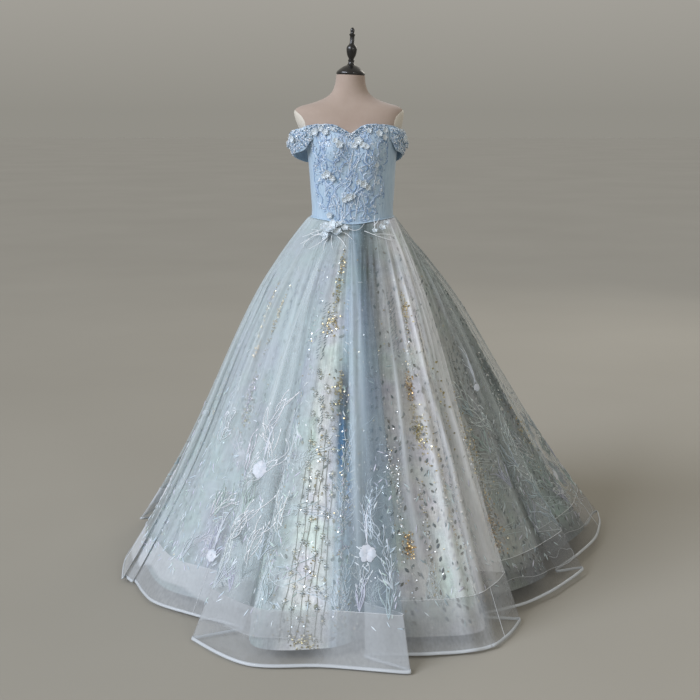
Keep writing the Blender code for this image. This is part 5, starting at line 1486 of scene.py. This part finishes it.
spots, tints = np.concatenate(spots), np.concatenate(tints)
scatter("over_sequins", SEQUIN, overskirt, *place_spots(overskirt, spot, spots), 0.0036, 0.0024, 0.0006,
        tints, foil, "organza")

# Joins that show as white lines: the band's seam to the gores, a few upright joins in the band,
# and the rounded edge of its inner layer.
runs = []
for ends in ((SEAMS[0], 57.0), (69.05, SEAMS[0] + AROUND)):
    seam = np.arange(*np.searchsorted(counts, ends), dtype=float)
    runs.append(overskirt.run(seam, np.full(len(seam), float(BAND_ROW)), 0.0004, 0.0008))
for count in (9.35, 21.3, 45.2, 57.3, 33.4, 62.95):
    level = np.linspace(BAND_LEVEL, EDGE_LEVEL, 16)
    runs.append(overskirt.run(*spot(np.full(16, count), level), 0.0003, 0.0008))
count = np.linspace(13.0, 65.6, 1100)
columns, rows = spot(count, inner_hem(count))
order = np.argsort(columns)
runs.append(overskirt.run(columns[order], rows[order], -0.0012, 0.0007))
count = np.linspace(-0.3, 2.75, 90)
runs.append(overskirt.run(*spot(count, inner_hem(count + AROUND)), -0.0012, 0.0007))
fit(cords("band_seams", runs, 4, [srgb("DDE2E6")] * len(runs)), thread)

# ---- Lace on the bodice --------------------------------------------------------------------
# Corded vine lace laid over the front panel: staggered five-petal heads joined by scrolling
# vines, with leaves and beads worked through it and a dense beaded border at the neckline.
front = bodice["satin_front"]
LACE_PITCH_X, LACE_PITCH_Z = 0.034, 0.040


def front_spot(azimuth, z):
    """Column and row of the front panel at an azimuth and a height."""
    azimuth, z = np.asarray(azimuth, float), np.asarray(z, float)
    start, end = PANELS[0][2:4]
    low, top = waist_z(azimuth) + WAIST_GAP, neckline_z(azimuth)
    column = (azimuth - start - PANEL_GAP) / (end - start - 2 * PANEL_GAP) * (end - start)
    return column, np.clip((z - low) / (top - low), 0, 1) * FRONT_ROWS


LACE_TINTS = ("CBDAEA", "B7CDE2", "DBE6F1", "A4BDD6", "8FAECB")


def sew_heads(name, cloth, columns, rows, more):
    """Five-petal heads at columns and rows, turned every way, from 8.5 mm of petal up."""
    number = len(columns)
    five = np.repeat(np.arange(number), 5)
    turn = np.tile(np.arange(5) * 2 * math.pi / 5, number) + np.repeat(draw.random(number) * 6.28, 5)
    size = np.repeat(0.0085 + more * draw.random(number), 5)
    strew(name, PETAL, cloth, columns[five], rows[five], turn, size, 0.0012,
          pick(LACE_TINTS, draw.random(len(five))), thread, "lace")


heads = []
for row in range(0, 8):
    for column in range(-5, 5):
        across = LACE_PITCH_X / 2 * (row % 2) + LACE_PITCH_X * column
        azimuth, z = math.degrees(across / WAIST_HALF_WIDTH), WAIST_Z + LACE_PITCH_Z * row
        if -60 < azimuth < 50 and float(waist_z(azimuth)) + 0.008 < z < float(neckline_z(azimuth)) - 0.010:
            heads.append((azimuth + 2.2 * math.sin(row * 5 + column * 3),
                          z + 0.004 * math.sin(row * 3 + column * 7), row, column))
heads = np.array(heads)
sew_heads("lace_flower_heads", front, *front_spot(heads[:, 0], heads[:, 1]), 0.0030)
LACE_CORDS = ("8FABCB", "B9CCE2", "A3BAD6", "C9D8E8", "7F9CBF", "AFC4DC")


def scroll(start, reach, lean, swing, phase):
    """A strand that swings from side to side as it climbs."""
    t = np.linspace(0, 1, 18)
    heading = lean + swing * np.sin(2 * math.pi * t + phase)
    steps = np.stack((np.sin(heading), np.cos(heading)), -1) * reach / 18
    return np.concatenate(([start], start + np.cumsum(steps, axis=0)))


runs, tints = [], []
for k, (azimuth, z, row, column) in enumerate(heads):
    side = 1 if (row + column) % 2 else -1
    strips = [scroll((0, 0.003), 0.088, side * 0.2, side * 0.75, 0.4 * k),
              scroll((0.0024, 0.003), 0.082, side * 0.2, side * 0.75, 0.4 * k),
              scroll((0.009 * side, -0.012), 0.060, -side * 0.3, -side * 1.0, 1.1 * k),
              curl((0, 0), side * 1.6, 0.034, side * 2.6, 12),
              curl((0, -0.004), side * 2.8, 0.026, -side * 2.1, 10)][:5 if k % 2 else 3]
    for j, strip in enumerate(strips):
        lay_strands(front, front_spot(azimuth, z), 0.3 * math.sin(k * 2.7), [strip], 0.0022, 0.0003,
                    srgb(LACE_CORDS[(j + k) % 6]))
PALE_CORDS = (               # azimuth, height and reach of the pale cords over the vines
    (-28, 1.165, 0.075), (-24, 1.160, 0.085), (-19, 1.158, 0.080), (-13, 1.160, 0.06),
    (6, 1.150, 0.090), (22, 1.170, 0.070), (-2, 1.300, 0.090), (-6, 1.290, 0.08),
    (2, 1.285, 0.085), (34, 1.240, 0.080), (-44, 1.240, 0.080),
)
for azimuth, z, reach in PALE_CORDS:
    strip = curl((0, 0), 0.1 * math.sin(azimuth), reach, 0.5 * math.cos(azimuth * 3), 14)
    lay_strands(front, front_spot(azimuth, z), 0.0, [strip], 0.0011, 0.0014, srgb("DFE8F1"))
fit(cords("lace_vines", runs, 4, tints), thread)


def over_front(number, low_margin, top_margin, power):
    """Columns and rows drawn over the whole front panel; a low power draws them upwards."""
    azimuth = -62 + 114 * draw.random(number)
    low, top = waist_z(azimuth) + low_margin, neckline_z(azimuth) - top_margin
    return front_spot(azimuth, low + (top - low) * draw.random(number) ** power)


scatter("lace_leaves", LEAF, front, *over_front(300, 0.006, 0.006, 1), 0.0055, 0.0045, 0.0006,
        ("A9BFD6", "8FABC9", "7C99BA", "C3D3E4", "6B89AC"), thread, "lace")
scatter("lace_beads", BEAD, front, *over_front(640, 0.004, 0.002, 0.4), 0.0018, 0.0012, 0.0012,
        ("FFFFFF", "DCE8F4", "9FB4CE", "6F88A6", "E8EEF6"), glass, "lace")
BORDER_ROWS, BORDER_BEADS = ((0, 0.0018), (0.6, 0.0060), (0.2, 0.0105), (0.9, 0.0155)), 96
azimuth = np.concatenate([np.linspace(-63, 53, BORDER_BEADS) + shift for shift, _ in BORDER_ROWS])
drop = np.repeat([below for _, below in BORDER_ROWS], BORDER_BEADS)      # metres under the edge
drop = drop + 0.0009 * draw.normal(size=len(azimuth))
scatter("neckline_beads", BEAD, front, *front_spot(azimuth, neckline_z(azimuth) - drop),
        0.0030, 0.0018, 0.0008, ("DCE7F0", "C3D4E4", "97AFC8", "7F9AB4", "EDF3F8", "5F7B90"), glass, "lace")

# ---- Off-shoulder sleeves ------------------------------------------------------------------
# Bands of the same satin from the front of the bodice round to the back, standing off as loops
# for the arms, and covered with lace heads, leaves and beads.
SLEEVES = (("lace_sleeve_left", "sleeve_left", -1, 0.040, 0.020),
           ("lace_sleeve_right", "sleeve_right", 1, 0.013, 0.010))      # side, bulge and tuck
SLEEVE_FRONT, SLEEVE_BACK, SLEEVE_HEIGHT, SLEEVE_PUFF = 56, 124, 0.072, 0.006
SLEEVE_MIDDLE = ((0.0, 1.412), (0.25, 1.402), (0.5, 1.389), (0.75, 1.372), (1.0, 1.350))
SLEEVE_SEAT, SLEEVE_WALL, SLEEVE_SEWN = 0.0091, 0.0018, 0.0043     # its ends are sewn down


def sleeve_point(side, bulge, tuck, along, up, out=0.0):
    """Places on a band: along it from front to back and up its height, both 0 to 1."""
    azimuth = side * (SLEEVE_FRONT + (SLEEVE_BACK - SLEEVE_FRONT) * along)
    gathered = 0.42 * (bell(along, 0.09) + bell(1 - along, 0.09))       # its ends are drawn narrower
    z = smooth(SLEEVE_MIDDLE, along)[..., 0] + (0.5 - (1 - up) * (1 - gathered)) * SLEEVE_HEIGHT
    spread = np.sin(math.pi * along)
    puff = SLEEVE_PUFF * np.sin(math.pi * up) * spread
    drawn = tuck * np.maximum(0, 2 * up - 1) ** 2 * spread
    sewn = SLEEVE_SEWN * (bell(along, 0.05) + bell(1 - along, 0.05))
    return body_point(azimuth, z, SLEEVE_SEAT + bulge * spread + puff - drawn - sewn + out)


for name, node, side, bulge, tuck in SLEEVES:
    along, up = np.meshgrid(np.linspace(0, 1, 91)[::side], np.linspace(0, 1, 33))
    ripple = 0.0009 * np.sin(along * 46 + up * 4) * np.sin(math.pi * along)
    cloth = Cloth(sleeve_point(side, bulge, tuck, along, up, SLEEVE_WALL + ripple))
    band = new_sheet(name, cloth.places)
    thicken(band, SLEEVE_WALL)
    fit(band, satin, node)
    sew_heads(name + "_heads", cloth, 4 + 82 * draw.random(26), 5 + 23 * draw.random(26), 0.0035)
    scatter(name + "_leaves", LEAF, cloth, 2 + 86 * draw.random(240), 2 + 28 * draw.random(240),
            0.006, 0.005, 0.0006, ("D3E0F1", "A9BEDC", "EEF4FB", "6E8AA8", "4F6C80"), thread, "lace")
    scatter(name + "_beads", BEAD, cloth, 1 + 88 * draw.random(420), 1 + 31 * draw.random(420),
            0.0024, 0.0018, 0.0012, ("FFFFFF", "DCE8F4", "9FB4CE", "54708A", "E8EEF6"), glass, "lace")

# ---- Flowers of folded organza -------------------------------------------------------------
# Each is two rings of five cupped petals cut from white-blue organza and gathered over a knot
# of beads, then sewn on through the middle.
BODICE_FLOWERS = (           # node, azimuth, height, radius, turn
    ("flower_neck_1", -50, 1.432, 0.013, 10), ("flower_neck_2", -36, 1.430, 0.011, 40),
    ("flower_neck_3", -17, 1.392, 0.012, 25), ("flower_neck_4", 10, 1.404, 0.014, 5),
    ("flower_neck_5", 40, 1.426, 0.012, 15), ("flower_front_1", -36, 1.302, 0.014, 30),
    ("flower_front_2", 17, 1.270, 0.013, 0), ("flower_front_3", -6, 1.228, 0.013, 45),
)
SLEEVE_FLOWERS = (           # node, sleeve, along, up, radius, turn
    ("flower_sleeve_left_1", 0, 0.26, 0.62, 0.013, 15), ("flower_sleeve_left_2", 0, 0.56, 0.55, 0.014, 40),
    ("flower_sleeve_right_1", 1, 0.26, 0.62, 0.013, 30), ("flower_sleeve_right_2", 1, 0.56, 0.55, 0.014, 5),
)
WAIST_FLOWERS = (("flower_waist_1", -27, 1.124, 0.026, 12), ("flower_waist_2", 44, 1.126, 0.012, 33))
FLOWER_RINGS = ((1.0, 0.42, 0.0), (0.72, 0.60, 0.63))       # reach and lift over radius, turn

# Petal organza: two layers heat-set to a cup; white with a blue shadow, a little see-through.
petal_cloth, tree, surface = new_finish("folded petal organza", "E4EDF6", 0.42, Sheen_Weight=0.4,
                                        Sheen_Roughness=0.4)
place = add(tree, "TexCoord").outputs["Object"]
fibres = add(tree, "TexNoise", {"Vector": place, "Scale": 420, "Detail": 3})
add(tree, "ValToRGB", {"Fac": fibres}, surface.inputs["Base Color"], ((0.3, "C6D5DF"), (0.7, "ECF2F6")))
add(tree, "Bump", {"Height": fibres, "Strength": 0.3, "Distance": 0.0003}, surface.inputs["Normal"])


def petal_grid(reach, lift, turn, rows, columns):
    """One cupped petal over its radius: from the middle outwards, rounded at its tip."""
    far, wide = np.meshgrid(np.linspace(0.06, 1, rows), np.linspace(-1, 1, columns))
    half = 0.60 * np.sin(math.pi * np.clip(far, 0, 1) ** 0.75 * 0.86 + 0.12) * wide
    x = far * reach * (1 - 0.10 * wide**2 * far)
    y = half * reach
    z = 0.10 + lift * (far**1.6) * reach + 0.12 * wide**2 * far - 0.07 * np.cos(wide * 5) * far**3
    cos, sin = math.cos(turn), math.sin(turn)
    return np.stack((x * cos - y * sin, x * sin + y * cos, z), -1)


def folded_flowers(name, flowers, node=None, rows=7, columns=9):
    """Petals with a wall of their own round knots of nine beads; flowers are (place, radius)."""
    sheets, knot, faces = [], [], []
    for place, radius in flowers:
        spin, seat = np.array(place.to_3x3()), np.array(place.translation)
        for reach, lift, turn in FLOWER_RINGS:
            for k in range(5):
                grid = petal_grid(reach, lift, turn + k * 2 * math.pi / 5, rows, columns)
                sheets.append(grid.reshape(-1, 3) * radius @ spin.T + seat)
        for k in range(9):
            turn, far = k * 2 * math.pi / 8, 0 if k == 8 else 0.20
            middle = np.array((far * math.cos(turn), far * math.sin(turn), 0.24 + (0.10 if k == 8 else 0)))
            faces.append(BEAD[1] + len(knot) * len(BEAD[0]))
            knot.append((BEAD[0] * 0.20 + middle) * radius @ spin.T + seat)
    i, j = np.meshgrid(np.arange(columns - 1), np.arange(rows - 1), indexing="ij")
    a = (i * rows + j).ravel()
    quad = np.stack((a, a + rows, a + 1 + rows, a + 1), -1)[:, ::-1]
    quads = np.concatenate([quad + k * rows * columns for k in range(len(sheets))])
    piece = joined(name, np.concatenate(sheets), quads)
    thicken(piece, 0.0005)
    fit(piece, petal_cloth, node)
    beads = joined(name + "_knots", np.concatenate(knot), np.concatenate(faces))
    paint(beads, "tint", np.tile(srgb("EDF2F6"), (len(beads.data.vertices), 1)))
    fit(beads, glass)


def seat_matrix(seat, normal, turn):
    quaternion = Vector(normal).to_track_quat("Z", "Y")
    return (Matrix.Translation(Vector(seat)) @ quaternion.to_matrix().to_4x4()
            @ Matrix.Rotation(math.radians(turn), 4, "Z"))


def bodice_seat(azimuth, z, turn, out=0.0024):
    seat = body_point(azimuth, z, BODICE_OUT + out)
    across = body_point(azimuth + 4, z) - body_point(azimuth - 4, z)
    up = body_point(azimuth, z + 0.01) - body_point(azimuth, z - 0.01)
    return seat_matrix(seat, Cloth.unit(np.cross(across, up)), turn)


waist_at = np.interp(counts, np.arange(2 * AROUND + 1), np.concatenate((
    waist_points, waist_points + 360, waist_points[:1] + 720)))


def waist_seat(azimuth, z, turn, out=0.0050):
    """A seat on the top of the overskirt."""
    column = np.array(float(np.argmin(abs(turned_back(waist_at - azimuth)))))
    level = float((waist_z(azimuth) - z) / waist_z(azimuth))
    row = np.array(float(np.interp(-level, -levels, np.arange(len(levels)))))
    normal = Cloth.unit(overskirt.read(outward, column, row))
    return seat_matrix(overskirt.lay(column, row, 0.0) + normal * out, normal, turn)


for node, azimuth, z, radius, turn in BODICE_FLOWERS:
    folded_flowers(node.replace("flower", "petals"), [(bodice_seat(azimuth, z, turn), radius)], node)
for node, which, along, up, radius, turn in SLEEVE_FLOWERS:
    side, bulge, tuck = SLEEVES[which][2:]
    at = [np.array(v) for v in (along, up)]
    seat = sleeve_point(side, bulge, tuck, *at, SLEEVE_WALL)
    across = (sleeve_point(side, bulge, tuck, at[0] + 0.05, at[1])
              - sleeve_point(side, bulge, tuck, at[0] - 0.05, at[1])) * side
    higher = (sleeve_point(side, bulge, tuck, at[0], at[1] + 0.1)
              - sleeve_point(side, bulge, tuck, at[0], at[1] - 0.1))
    normal = Cloth.unit(np.cross(across, higher))
    folded_flowers(node.replace("flower", "petals"),
                   [(seat_matrix(seat + normal * 0.0010, normal, turn), radius)], node)
for node, azimuth, z, radius, turn in WAIST_FLOWERS:
    folded_flowers(node.replace("flower", "petals"), [(waist_seat(azimuth, z, turn), radius)], node)
# Smaller blossoms beside the larger ones: azimuth, height, radius, turn.
BLOSSOMS = (
    (-22, 1.404, 0.010, 60), (4, 1.390, 0.011, 80), (15, 1.392, 0.011, 20), (-43, 1.294, 0.010, 5),
    (-30, 1.288, 0.011, 50), (24, 1.258, 0.010, 35), (10, 1.276, 0.010, 15), (-13, 1.219, 0.010, 10),
    (1, 1.232, 0.009, 70), (47, 1.414, 0.010, 0), (-58, 1.428, 0.011, 33), (-43, 1.440, 0.009, 12),
    (50, 1.436, 0.010, 50), (-27, 1.440, 0.008, 44), (28, 1.434, 0.009, 5), (-38, 1.168, 0.011, 20),
    (34, 1.330, 0.009, 60), (20, 1.386, 0.009, 0),
)
WAIST_BLOSSOMS = (
    (-39, 1.128, 0.015, 20), (-17, 1.114, 0.016, 60), (-27, 1.098, 0.014, 5), (-36, 1.106, 0.012, 70),
    (-10, 1.126, 0.012, 30), (-20, 1.136, 0.013, 50), (34, 1.118, 0.009, 20), (52, 1.140, 0.010, 40),
)
folded_flowers("small_blossoms", [(bodice_seat(a, z, turn, 0.0016), r) for a, z, r, turn in BLOSSOMS]
               + [(waist_seat(a, z, turn, 0.0040), r) for a, z, r, turn in WAIST_BLOSSOMS],
               rows=5, columns=7)

# ---- Twigs and piping at the waist ---------------------------------------------------------
# White corded twigs, sewn down at the waist seam beside the flowers, and a satin piping over the seam.
runs = []


def waist_run(points, radius):
    """A cord through places given by azimuth and height over the waist."""
    points = np.array(points, float)
    t = np.linspace(0, 1, 26)
    even = np.linspace(0, 1, len(points))
    curve = smooth(np.column_stack((even, points)), t)
    azimuth, z = curve[:, 0], curve[:, 1]
    flare = np.clip(waist_z(azimuth) - z, 0, 0.1)
    places = body_point(azimuth, np.maximum(z, waist_z(azimuth) - 0.012),
                        WAIST_OUT + 0.0045 - 0.003 * (z > waist_z(azimuth)) + 1.05 * flare)
    places[:, 2] = z
    return places, Cloth.unit(places * (1, 1, 0)), radius * (1 - 0.5 * t)


for points in (
    ((-12, 1.142), (-6, 1.130), (2, 1.124), (10, 1.128), (19, 1.144)),
    ((30, 1.130), (34, 1.146), (36, 1.168)), ((31, 1.138), (40, 1.150), (44, 1.160)),
    ((16, 1.122), (28, 1.108), (42, 1.092)), ((24, 1.112), (36, 1.112), (48, 1.106)),
    ((-34, 1.120), (-44, 1.104), (-52, 1.080)), ((-30, 1.132), (-42, 1.122), (-56, 1.100)),
    ((-40, 1.112), (-44, 1.122), (-52, 1.122)), ((-46, 1.096), (-48, 1.084), (-46, 1.070)),
    ((-24, 1.108), (-22, 1.090), (-18, 1.070)), ((-30, 1.100), (-34, 1.084), (-40, 1.068)),
    ((-18, 1.108), (-11, 1.094), (-6, 1.076)), ((-14, 1.120), (-6, 1.112), (0, 1.098)),
    ((-36, 1.112), (-44, 1.108), (-50, 1.112)), ((-27, 1.100), (-28, 1.084), (-26, 1.066)),
    ((150, 1.140), (165, 1.132), (184, 1.140)), ((196, 1.136), (210, 1.120), (222, 1.100)),
):
    runs.append(waist_run(points, 0.0012))
piping = body_point(around, waist_z(around) + 0.0004, BODICE_OUT + 0.0016)
fit(cords("waist_piping", [(piping, upright, 0.0024)], 8), satin)
fit(cords("waist_twigs", runs, 5, [srgb("F1F5F9")] * len(runs)), thread)
